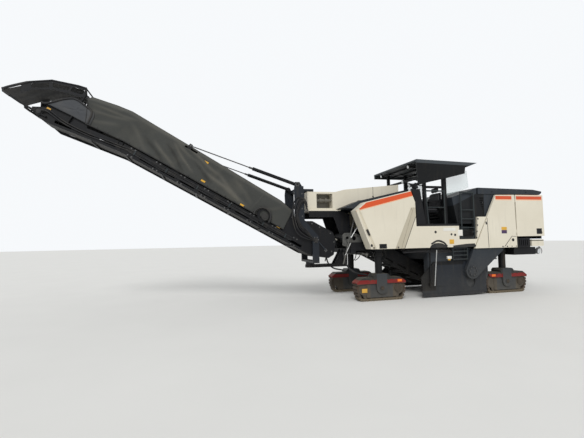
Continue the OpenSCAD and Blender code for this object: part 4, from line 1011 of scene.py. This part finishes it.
def makeCleats(b):
    places = []
    for k in range(b["count"]):
        u = b["from"] + b["step"] * k
        turn = math.radians(b["turn"]) if u >= b["bend"] else 0.0
        w = b["top"] - (u - b["bend"]) * math.tan(turn)
        outward = upConveyor * math.cos(turn) + alongConveyor * math.sin(turn)
        along = alongConveyor * math.cos(turn) - upConveyor * math.sin(turn)
        for side in (1, -1):
            slanted = along * b["slant"] + Vector((0, side, 0))
            places.append((onConveyor(u, side * b["out"], w + b["lift"]), outward, slanted))
    scatter("beltCleats", "bar", places, "conveyor", "beltRubber",
            {"Length": 0.34, "Width": 0.024, "Height": 0.03})


makeCleats(belt)
print("picks, bolts, shoes and cleats are set")


# Head of the conveyor: a dark sheet across the guard, a rubber edge on the flap, hoses to the drum's motor
head = {"sheet": ((6.6, 0.33), (6.66, 0.452), (6.8, 0.424), (7.31, 0.236), (7.66, -0.04), (8.022, -0.42)),
        "half": 0.5, "columns": 16,
        "flap": ((7.237, -0.3), (7.12, -0.25), (6.9, 0.004), (6.7, 0.146), (6.45, 0.126), (6.246, 0.066),
                 (6.186, -0.215)),
        "loop": ((0.262, 0.02), (0.215, 0.118), (0.085, 0.182), (-0.057, 0.164), (-0.16, 0.054),
                 (-0.17, -0.09), (-0.118, -0.2)),
        "nose": ((7.7, -0.04), (7.86, -0.22), (7.985, -0.37), (8.016, -0.428), (7.985, -0.478),
                 (7.84, -0.502)),
        "motor": ((7.16, 0.548, -0.45), (7.02, 0.552, -0.4), (6.62, 0.536, -0.46), (6.1, 0.516, -0.44),
                  (5.6, 0.512, -0.36), (5.2, 0.512, -0.3)),
        "rail": (-0.25, -0.271, -0.292, -0.313, -0.334), "clips": (4.98, 4.15, 3.32, 2.42, 1.45, 0.78)}


def makeHeadSheet(h):
    bm = bmesh.new()
    rows, n = [], h["columns"]
    for k, p in enumerate(smoothPath([onConveyor(u, 0, w) for u, w in h["sheet"]], 5)):
        line = []
        for i in range(n + 1):
            y = -h["half"] + 2 * h["half"] * i / n
            sag = 0.012 * math.sin(i * 1.1 + k * 0.7) * math.sin(math.pi * i / n)
            line.append(bm.verts.new(p + Vector((0, y, 0)) - upConveyor * (0.02 - sag)))
        rows.append(line)
    for a, b in zip(rows, rows[1:]):
        for i in range(n):
            bm.faces.new((a[i], a[i + 1], b[i + 1], b[i]))
    bmesh.ops.recalc_face_normals(bm, faces=bm.faces)
    bmesh.ops.solidify(bm, geom=bm.faces[:], thickness=0.008)
    keep("headSheet", bm, "conveyor", "blackRubber")


def railHose(w):  # clipped along the rail in front of its openings
    return [(5.2 - k * 0.42, 0.513 + 0.004 * math.sin(k * 2.1 + w * 40),
             w + 0.008 * math.sin(k * 1.7 + w * 90))
            for k in range(12)]


def motorHose(points, lift):
    (u, y, w), rest = points[0], points[1:]
    return [(u, y, w - 0.02)] + [(u, y, w + lift) for u, y, w in rest]


def byTail(x, y, z):
    return onConveyor(1.54, y, -0.088) + Vector((x, 0, z))


def makeHead(h):
    twin("headHoses", "conveyor", "hoseRubber", onConveyor,
         hoses=[([(u, 0.549, w) for u, w in h["flap"]], 0.024, 10, 5),
                ([(u, 0.5228, w) for u, w in h["nose"]], 0.029, 12, 5),
                (motorHose(h["motor"], -0.02), 0.013, 8, 6), (motorHose(h["motor"], 0.03), 0.013, 8, 6)],
         discs=[((7.175, 0.492, -0.512), 0.075, 0.08, 24), ((7.175, 0.544, -0.512), 0.052, 0.032, 24)])
    twin("railHoses", "conveyor", "hoseRubber", onConveyor,
         hoses=[(railHose(w), 0.011, 8, 3) for w in h["rail"]])
    twin("railClips", "conveyor", "railPaint", onConveyor,
         plates=[(box(u - 0.018, -0.238, u + 0.018, -0.346), 0.5, 0.024, 0.032) for u in h["clips"]])
    twin("tailLoops", "conveyor", "blackRubber", byTail,  # low on the tarpaulin's wall
         hoses=[([(x, 0.59, z) for x, z in h["loop"]], 0.026, 12, 5)],
         discs=[((-0.03, 0.58, -0.055), 0.098, 0.03, 32), ((-0.03, 0.596, -0.055), 0.052, 0.02, 24)])


makeHeadSheet(head)
makeHead(head)

# Cloth flaps laced over the head's cheek plates, a little slack between their edges
flap = {"edge": ((6.12, -0.235), (6.18, 0.055), (6.42, 0.124), (6.69, 0.144), (6.89, 0.008), (7.105, -0.245),
                 (7.02, -0.262), (6.56, -0.238)), "middle": (6.56, -0.07), "rings": 7, "out": 0.5465}


def makeFlaps(k):
    bm = bmesh.new()
    edge = smoothPath([onConveyor(u, 0, w) for u, w in k["edge"] + k["edge"][:1]], 5)[:-1]
    middle = onConveyor(k["middle"][0], 0, k["middle"][1])
    n = len(edge)
    for side in (1, -1):
        rings = []
        for r in range(1, k["rings"] + 1):
            share, line = r / k["rings"], []
            for i, p in enumerate(edge):
                wave = 0.005 * math.sin(i * 0.55 + share * 5) + 0.004 * math.sin(i * 1.3 - share * 7)
                y = k["out"] + (0.006 + wave * 0.6) * (1 - share ** 4)
                line.append(bm.verts.new(middle.lerp(p, share) + Vector((0, side * y, 0))))
            rings.append(line)
        centre = bm.verts.new(middle + Vector((0, side * (k["out"] + 0.006), 0)))
        for i in range(n):
            bm.faces.new((centre, rings[0][i], rings[0][(i + 1) % n]))
            for a, b in zip(rings, rings[1:]):
                bm.faces.new((a[i], b[i], b[(i + 1) % n], a[(i + 1) % n]))
    bmesh.ops.recalc_face_normals(bm, faces=bm.faces)
    area = sum(f.calc_area() for f in bm.faces) / 2
    piece = keep("headFlaps", bm, "conveyor", "flapCloth", 60)
    wall = piece.modifiers.new("thick", "SOLIDIFY")
    wall.thickness, wall.offset = 0.002, -1
    return piece, area


flapPiece, flapArea = makeFlaps(flap)
2 * flapArea

# Plates and marks that stand on the conveyor: corners (u, w) and the face that they lie on
rail, cover, plateDepth = 0.5005, 0.5435, 0.003
conveyorParts = {
    "yellowPlate": ((box(3.5, 0.395, 3.38, 0.355), cover), (box(3.33, -0.062, 3.22, -0.104), cover),
                    (box(2.2, -0.116, 2.09, -0.158), cover), (box(1.09, -0.152, 0.99, -0.194), rail),
                    (box(7.1, -0.322, 7.01, -0.362), rail)),
    "whitePlate": ((box(1.0, 0.1, 0.91, 0.05), rail),),
}
for finish, places in conveyorParts.items():
    slot = "bright_steel" if finish == "whitePlate" else None
    twin("conveyor_" + finish, "conveyor", finish, onConveyor,
         plates=[(edges, face, 0, plateDepth) for edges, face in places])
twin("tailBars", "conveyor", "slatePaint", onConveyor,
     hoses=[([(0.463, 0.512, 0.198), (-0.39, 0.512, -0.103)], 0.017, 10, 1)])
twin("tailPlates", "conveyor", "boltSteel", onConveyor,
     plates=[(((-0.37, -0.06), (-0.44, -0.09), (-0.42, -0.16), (-0.35, -0.13)), rail, 0, 0.006)])


# Hoses from the body over the mast down to the conveyor's foot, held at both ends
def mastHose(y, shift):
    return [(1.84, 0.59, 2.44 + shift), (1.92, y - 0.01, 2.64 + shift * 0.6), (2.06 + shift, y, 2.62 + shift),
            (2.16 + shift, y + 0.01, 2.3), (2.08 + shift, y, 1.98 - shift),
            (1.9 + shift, y - 0.01, 1.8 - shift), (1.72, y - 0.02, 1.66 - shift * 0.5), (1.62, 0.585, 1.6)]


mastHoses = ((0.612, 0.0), (0.634, 0.05), (0.604, 0.1), (0.59, -0.05), (0.64, -0.02))
twin("mastHoses", "slewing_mast", "hoseRubber",
     hoses=[(mastHose(y, shift), 0.013, 8, 6) for y, shift in mastHoses],
     discs=[((1.62, 0.586, 1.6), 0.06, 0.028, 20)])
print("conveyor's head and hoses are made")

# Marks and small parts on the sides, by corners (x, z) in metres from the front track centre
panel = 1.25  # outer face of the side panels
sideMarks = {
    "inkPaint": (box(0.127, 1.481, -0.082, 1.36),
                 ((-3.165, 2.04), (-3.205, 2.04), (-3.215, 1.96), (-3.175, 1.96))),
    "yellowPlate": (box(-3.7, 1.885, -3.88, 1.8),),
    "purplePaint": (box(-3.7, 1.795, -3.88, 1.7),),
}
seams = (((-3.222, 2.141), (-3.23, 2.141), (-3.251, 1.31), (-3.243, 1.31)),
         ((-3.772, 1.324), (-4.046, 1.622), (-4.053, 1.615), (-3.78, 1.317)),
         ((-4.046, 1.622), (-4.19, 1.606), (-4.19, 1.599), (-4.048, 1.615)))
# dark sheets over the openings below the side panel: painted shade
fills = (((-1.36, 1.345), (-1.405, 1.415), (-1.5, 1.462), (-1.62, 1.474), (-1.74, 1.462), (-1.85, 1.41),
          (-1.93, 1.345)),
         ((-2.09, 1.345), (-2.09, 1.392), (-2.5, 1.43), (-2.78, 1.44), (-2.85, 1.345)))
# dark discs in the holes: painted shade
holes = ((-1.555, 1.768, 0.036), (-2.05, 1.7, 0.03), (-2.165, 1.685, 0.034), (-3.8, 1.36, 0.02))
for finish, places in sideMarks.items():
    twin("sideMarks_" + finish, "chassis", finish, plates=[(edges, panel, 0, 0.0025) for edges in places])
twin("sideInsets", "chassis", "blackRubber",  # painted shade: the handle's slot, holes and dark fills; the seams are dark joints
     hoses=[([(0.45, 1.2235, 1.86), (0.385, 1.2235, 1.71)], 0.0245, 12, 1)],
     discs=[((0.335, 1.2235, 1.445), 0.039, 0.004, 24), ((-4.077, 1.2575, 1.514), 0.034, 0.003, 24)]
     + [((x, 1.2415, z), radius, 0.004, 20) for x, z, radius in holes],
     plates=[(edges, panel, 0, 0.0068) for edges in seams] + [(edges, 1.24, 0, 0.003) for edges in fills])
twin("sideHandles", "chassis", "inkPaint",
     hoses=[([(0.47, 1.24, 1.845), (0.405, 1.24, 1.715)], 0.007, 8, 1)],
     discs=[((-4.077, 1.2575, 1.514), 0.044, 0.002, 24)])
for side, s in (("left", 1), ("right", -1)):
    bm = bmesh.new()
    sheetPlate(bm, [spot(x, s * panel, z) for x, z in box(-4.94, 1.83, -5.13, 1.67)], (0, s, 0), 0, 0.003)
    keep("doorParts_rear_door_" + side, bm, "rear_door_" + side, "inkPaint")


def lamp(bm, glassy, where, facing, wide, deep):
    facing = Vector(facing).normalized()
    disc(bm, where - facing * deep * 0.5, facing, wide, deep, 24, 0.25)
    disc(bm, where + facing * 0.004, facing, wide * 1.02, 0.01, 24, 0.1)
    disc(glassy, where + facing * 0.011, facing, wide * 0.86, 0.006, 24, 0.3)


# Boxes, steps, lamps and reflectors below the body
lowParts = {
    "whitePlate": (((-2.025, 1.195, 1.035), (-1.9, 1.24, 1.11)),
                   ((-2.18, 1.215, 1.79), (-1.8, 1.2435, 1.875)),
                   ((-2.408, 1.195, 1.655), (-2.256, 1.243, 1.82))),
    "yellowPlate": (((-2.12, 1.236, 1.44), (-1.98, 1.246, 1.56)),
                    ((-1.99, 1.205, 1.0), (-1.92, 1.242, 1.034))),
}
for finish, places in lowParts.items():
    twin("lowParts_" + finish, "chassis", finish, blocks=[(low, high, 0.004) for low, high in places])
workLamp = {"x": -5.065, "y": 1.168, "z": 1.165, "ring": 0.116}


def makeWorkLamps(k):  # under the rear corners, each in its ring
    bm, glassy = bmesh.new(), bmesh.new()
    for side in (1, -1):
        lamp(bm, glassy, spot(k["x"], side * 1.165, k["z"]), (-0.25, side, -0.15), 0.086, 0.08)
        turns = [math.pi * i / 10 for i in range(-2, 13)]
        hose(bm, [spot(k["x"] + k["ring"] * math.cos(a), side * k["y"], k["z"] + k["ring"] * math.sin(a))
                  for a in turns], 0.009, 8, 1)
        y = side * k["y"]
        block(bm, spot(-5.105, y - 0.012, 1.25), spot(-5.075, y + 0.012, 1.3), 0.003)
    keep("rearWorkLamps", bm, "chassis", "boltSteel")
    keep("rearLampGlasses", glassy, "chassis", "clearLens")


makeWorkLamps(workLamp)


def frameHose(k):  # between the tracks
    return [(-0.62, 1.02 + k * 0.03, 1.31 - k * 0.02), (-1.1, 1.05 + k * 0.03, 1.37 - k * 0.03),
            (-1.45, 1.1 + k * 0.02, 1.43 - k * 0.05), (-1.9, 1.09 + k * 0.02, 1.38 - k * 0.04),
            (-2.35, 1.02 + k * 0.02, 1.3 - k * 0.02)]


def frontLegHose(x):
    return [(x, 0.79, 1.32), (x * 1.15, 0.8, 1.16), (x * 0.85, 0.79, 1.03), (x * 0.35, 0.78, 0.95)]


def rearLegHose(x):
    return [(x, 0.79, 1.3), (x, 0.8, 1.14), (rearX + (x - rearX) * 0.8, 0.79, 1.03),
            (rearX + (x - rearX) * 0.35, 0.78, 0.95)]


twin("bodyHoses", "chassis", "hoseRubber",
     hoses=[(frameHose(k), 0.014, 8, 6) for k in range(5)]
     + [([(-1.407, 1.225, 1.449), (-1.6, 1.235, 1.53), (-1.78, 1.235, 1.49), (-1.904, 1.225, 1.385)],
         0.026, 10, 7)]
     + [(frontLegHose(x), 0.013, 8, 6) for x in (-0.25, -0.12)]
     + [(rearLegHose(x), 0.013, 8, 6) for x in (-4.24, -4.1, -3.84, -3.72)]
     + [([(0.905, 0.7, 1.27), (0.84, 0.74, 0.95), (0.64, 0.8, 0.745), (0.3, 0.83, 0.66)], 0.022, 10, 6)])
twin("brightRods", "chassis", "brightRod",
     hoses=[([(-1.569, 1.236, 1.285), (-1.47, 1.236, 0.332)], 0.014, 10, 1),
            ([(0.48, 0.735, 1.97), (0.69, 0.735, 1.65)], 0.014, 10, 1),
            ([(0.7, 0.735, 1.52), (0.86, 0.735, 1.2)], 0.014, 10, 1)])
reflectors = {"front": -0.585, "rear": 0.4}  # how far from the track's centre each starts


def makeTrackParts():  # reflectors, front plates and hub caps
    for corner, x, s in tracks:
        end, side = corner.split("_")
        body, x0 = "track_" + corner, x + reflectors[end]
        bm = bmesh.new()
        # the reflector takes the glowing amber lens: a painted glint, as a reflector is no lamp
        block(bm, spot(x0, s * 1.085 - 0.003, 0.478), spot(x0 + 0.13, s * 1.085 + 0.003, 0.54), 0.003)
        keep("reflector_" + corner, bm, body, "amberLens")
        if end == "front":
            bm = bmesh.new()
            block(bm, spot(0.41, s * 1.055 - 0.003, 0.225), spot(0.56, s * 1.055 + 0.003, 0.33), 0.002)
            keep("trackPlate_" + side, bm, body, "yellowPlate")
        bm = bmesh.new()
        disc(bm, spot(x - 0.475, s * 1.071, 0.315), (0, s, 0), 0.06, 0.008, 24)
        disc(bm, spot(x, s * 1.107, 0.33), (0, s, 0), 0.026, 0.01, 20)
        keep("hubCaps_" + corner, bm, body, "trackSteel")


makeTrackParts()

# Over the steps: the dark louvred plate, the studs on step and deck, the grips on the rungs
treads = {"louvre": (-2.596, 1.236, 1.625), "louvres": 10, "louvreStep": 0.022,
          "rungs": (1.64, 1.76, 1.88, 2.12, 2.37)}


def makeTreads(k):
    places, studs, grips = [], [], []
    x, y, z = k["louvre"]
    for side in (1, -1):
        places += [(spot(x, side * y, z + k["louvreStep"] * i), (0, side * 0.8, -0.5))
                   for i in range(k["louvres"])]
        studs += [(spot(-3.1 - i * 0.031, side * (1.02 + j * 0.09), 1.6215), (0, 0, 1), (1, 0.6, 0))
                  for i in range(13) for j in range(2)]
        studs += [(spot(-1.05 - i * 0.056, side * (0.06 + j * 0.042), 1.9912), (0, 0, 1),
                   (1, 1 if (i + j) % 2 else -1, 0)) for i in range(22) for j in range(20)]
        grips += [(spot(-2.46 - i * 0.045, side * 1.212, rung + 0.0155), (0, 0, 1), (0, 1, 0))
                  for rung in k["rungs"] for i in range(9)]
    scatter("sideLouvres", "bar", places, "chassis", "inkPaint",
            {"Length": 0.3, "Width": 0.004, "Height": 0.016})
    scatter("deckTread", "bar", studs, "chassis", "boltSteel",
            {"Length": 0.03, "Width": 0.007, "Height": 0.003})
    scatter("rungGrips", "bar", grips, "chassis", "boltSteel",
            {"Length": 0.026, "Width": 0.01, "Height": 0.003})


makeTreads(treads)
print("side parts are made")

# Seats: frames, arms and pedestals as one piece, each cushion a padded piece of its own
seat = {"x": -2.02, "y": 0.67, "fill": 0.6, "grid": 14, "tilt": math.radians(-4)}
up = Vector((0, 0, 1))


def swelling(s, t, bulge, pipe, waist):  # height of the padding, s and t run from -1 to 1
    dome = max(0.0, 1 - abs(s) ** 5) * max(0.0, 1 - abs(t) ** 5)
    sewn = sum(math.exp(-((t - at) / 0.055) ** 2) for at in (-0.56, 0.56))  # channels beside the middle panel
    sewn += 0.6 * math.exp(-((s - 0.3) / 0.05) ** 2) * (abs(t) < 0.5)
    return dome, dome * (bulge - pipe * sewn + waist * abs(t) ** 3)


def cushion(name, low, high, bulge, pipe, turn=0.0, about=None, waist=0.0):
    bm = bmesh.new()
    n = seat["grid"]
    size = [h - l for l, h in zip(low, high)]
    thin = size.index(min(size))
    a, b = [i for i in range(3) if i != thin]
    rims = []
    for face in (-1, 1):
        rows = []
        for i in range(n + 1):
            line = []
            for j in range(n + 1):
                s, t = 2 * i / n - 1, 2 * j / n - 1
                dome, swell = swelling(s, t, bulge, pipe, waist)
                corner = 1 - 0.11 * (abs(s) * abs(t)) ** 6
                point = [(l + h) / 2 for l, h in zip(low, high)]
                point[a] += s * size[a] / 2 * corner
                point[b] += t * size[b] / 2 * corner
                point[thin] += face * (size[thin] / 2 * (0.62 + 0.38 * dome ** 0.35) + swell - bulge)
                line.append(bm.verts.new(point))
            rows.append(line)
        for r0, r1 in zip(rows, rows[1:]):
            for j in range(n):
                bm.faces.new((r0[j], r0[j + 1], r1[j + 1], r1[j]))
        rims.append([rows[i][0] for i in range(n)] + rows[n][:n] + [rows[i][n] for i in range(n, 0, -1)]
                    + [rows[0][j] for j in range(n, 0, -1)])
    lower, upper = rims
    for i in range(len(lower)):
        j = (i + 1) % len(lower)
        bm.faces.new((lower[i], lower[j], upper[j], upper[i]))
    if turn:
        bmesh.ops.rotate(bm, verts=bm.verts, cent=about, matrix=Matrix.Rotation(turn, 3, "Y"))
    piece = keep(name, bm, "chassis", "seatLeather", 60)
    finer = piece.modifiers.new("finer", "SUBSURF")
    finer.levels = finer.render_levels = 1
    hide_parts("seats")


def makeSeats(k):
    bm = bmesh.new()
    for name, s in (("Left", 1), ("Right", -1)):
        def at(x, y, z):
            return spot(k["x"] + x, s * k["y"] + y, z)
        hinge = at(0.08, 0, 2.42)
        cushion("seatCushion" + name, at(0.095, -0.245, 2.352), at(0.555, 0.245, 2.452), 0.02, 0.01)
        cushion("seatBack" + name, at(0.04, -0.225, 2.44), at(0.12, 0.225, 2.88), 0.016, 0.008,
                k["tilt"], hinge, 0.01)
        cushion("headRest" + name, at(0.03, -0.15, 2.915), at(0.1, 0.15, 3.045), 0.012, 0.0, k["tilt"], hinge)
        block(bm, at(0.1, -0.235, 2.33), at(0.54, 0.235, 2.356), 0.008)
        tilted = Matrix.Rotation(k["tilt"], 3, "Y")
        block(bm, at(0.012, -0.215, 2.4), at(0.034, 0.215, 2.9), 0.008, tilted, hinge)
        for dy in (-0.07, 0.07):
            hose(bm, [at(0.04, dy, 2.86), at(0.036, dy, 2.96)], 0.007, 8, 1)
        for dy in (-0.245, 0.245):  # arms
            hose(bm, [at(0.08, dy, 2.44), at(0.08, dy, 2.65)], 0.017, 10, 1)
            block(bm, at(0.06, dy - 0.025, 2.642), at(0.42, dy + 0.025, 2.688), 0.012)
        disc(bm, at(0.32, 0, 2.005), up, 0.16, 0.03, 32)
        disc(bm, at(0.32, 0, 2.075), up, 0.078, 0.15, 28)
        for i in range(6):  # bellows
            disc(bm, at(0.32, 0, 2.16 + i * 0.028), up, 0.1 - 0.002 * i, 0.026, 28, 0.3)
        block(bm, at(0.21, -0.15, 2.315), at(0.43, 0.15, 2.334), 0.005)
    frames = keep("seatFrames", bm, "chassis", "inkPaint")
    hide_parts("seats")


makeSeats(seat)

# Operator's stand: a lever, buttons and a display on each console
stand = {"x": -1.075, "z": 2.99, "y": 1.07}


def makeStand(k):
    bm, screens = bmesh.new(), bmesh.new()
    for side in (1, -1):
        def at(x, y, z):
            return spot(k["x"] + x, side * k["y"] + y, k["z"] + z)
        hose(bm, [at(0, 0, -0.01), at(-0.006, 0, 0.06), at(-0.02, 0, 0.1)], 0.012, 10, 4)
        disc(bm, at(-0.024, 0, 0.118), (-0.2, 0, 1), 0.021, 0.04, 14, 0.5)
        for i in range(5):
            disc(bm, at(0.004 * i - 0.06, side * (0.028 * i - 0.13), -0.053), up, 0.008, 0.014, 12)
        block(bm, at(-0.053, -0.062, 0.076), at(0.029, 0.062, 0.086), 0.003)
        screen = [at(-0.0765, -0.058, -0.015), at(-0.0765, 0.058, -0.015), at(-0.0475, 0.058, 0.063),
                  at(-0.0475, -0.058, 0.063)]
        sheetPlate(screens, screen, (-1, 0, 0.35), 0.001, 0.004)
    keep("standControls", bm, "chassis", "blackRubber")
    keep("standScreens", screens, "chassis", "blackGlass")


makeStand(stand)

# Roof: ribs below, work lamps at its edges, lamps on arms ahead of the posts, a thin rod on each side
roof = {"front": -1.06, "rear": -3.0, "z": 3.745, "drop": 0.04, "ribs": (-1.35, -1.75, -2.2, -2.5)}


def roofAt(x):
    return roof["z"] - roof["drop"] * (roof["front"] - x) / (roof["front"] - roof["rear"])


def makeRoof(r):
    bm, glassy = bmesh.new(), bmesh.new()
    for x in r["ribs"]:
        block(bm, spot(x - 0.022, -1.18, roofAt(x) - 0.086), spot(x + 0.022, 1.18, roofAt(x) - 0.046), 0.006)
    ribs, front, rear = roofAt(-2.6), roofAt(-1.06), roofAt(-2.9)
    for side in (1, -1):
        def at(x, y, z):
            return spot(x, side * y, z)
        block(bm, at(-2.6, 0.64, ribs - 0.078), at(-1.1, 0.6, ribs - 0.052), 0.006)
        lamp(bm, glassy, at(-1.085, 0.78, front - 0.128), (1, 0, -0.35), 0.05, 0.055)
        block(bm, at(-1.125, 0.792, front - 0.1), at(-1.085, 0.768, front - 0.046), 0.003)
        lamp(bm, glassy, at(-2.88, 0.8, rear - 0.112), (-1, 0, -0.35), 0.042, 0.045)
        block(bm, at(-2.86, 0.81, rear - 0.09), at(-2.83, 0.79, rear - 0.05), 0.003)
        lamp(bm, glassy, at(-0.7, 1.1, 3.13), (1, 0, -0.2), 0.048, 0.06)
        lamp(bm, glassy, at(-0.9, 1.1, 3.035), (1, 0.2 * side, -0.3), 0.044, 0.055)
        hose(bm, [at(-1.4, 1.0, 3.06), at(-1.15, 1.06, 3.07), at(-0.98, 1.1, 3.08)], 0.014, 8, 4)
        hose(bm, [at(-0.98, 1.1, 3.08), at(-0.86, 1.1, 3.11), at(-0.745, 1.1, 3.13)], 0.012, 8, 3)
        hose(bm, [at(-1.05, 1.1, 2.92), at(-1.0, 1.1, 3.0), at(-0.98, 1.1, 3.08)], 0.014, 8, 3)
        hose(bm, [at(0.23, 1.185, 2.7), at(0.23, 1.185, 2.97)], 0.005, 8, 1)
        disc(bm, at(0.23, 1.185, 2.712), up, 0.018, 0.04, 14)
    keep("roofParts", bm, "chassis", "inkPaint")
    keep("lampGlasses", glassy, "chassis", "clearLens")


makeRoof(roof)


# Rear: handles, lamps and their dark backs, the lid's grips
def handle(x, deep, y, low, high, curl):
    return [(x, y, low), (x - deep, y, low + curl), (x - deep, y, high - curl), (x, y, high)]


twin("rearHandles", "chassis", "inkPaint",
     hoses=[(handle(-5.165, 0.05, 0.2, 2.2, 2.52, 0.02), 0.012, 10, 4),
            (handle(-5.165, 0.04, 1.0, 1.62, 1.81, 0.01), 0.012, 10, 4)])
for name, lens, z in (("tailLamps", "redLens", 1.445), ("turnLamps", "amberLens", 1.385)):
    twin(name, "chassis", lens,
         blocks=[((-5.2235, 0.83, z - 0.022), (-5.2185, 0.97, z + 0.022), 0.002)])
twin("lampBacks", "chassis", "blackRubber",
     blocks=[((-5.2205, 0.815, 1.355), (-5.215, 0.985, 1.475), 0.002)])
lidGrip = {"x": -4.9, "y": 0.75, "half": 0.12, "low": 2.955, "high": 2.995, "studs": (-4.7, -3.5)}


def makeLidGrips(k):
    bm = bmesh.new()
    half, low, high = k["half"], k["low"], k["high"]
    bend = ((-half, low), (-half, high), (half, high), (half, low))
    for side in (1, -1):
        hose(bm, [spot(k["x"], side * k["y"] + dy, z) for dy, z in bend], 0.01, 10, 3)
        for x in k["studs"]:
            disc(bm, spot(x, side * 1.181, 2.9), (0, side, 0), 0.02, 0.01, 16)
    keep("lidGrips", bm, "hood_lid", "inkPaint")


makeLidGrips(lidGrip)

# Dark sheets behind the hood's side openings: painted shade of their insides
twin("hoodInsides", "chassis", "inkPaint",
     blocks=[((-3.225, 1.094, 2.205), (-2.905, 1.102, 2.775), 0)],
     plates=[(((-2.885, 2.79), (-3.035, 2.79), (-3.205, 2.215), (-2.885, 2.215)), 1.16, 0.001, 0.004)])

# Shackles where the stays meet the conveyor's plates
twin("stayPins", "conveyor", "boltSteel", onConveyor,
     discs=[((3.967, 0.465, 0.556), 0.021, 0.082, 16), ((3.967, 0.499, 0.556), 0.032, 0.012, 20),
            ((3.967, 0.431, 0.556), 0.032, 0.012, 20)])
print("seats, stand, roof and rear are made")
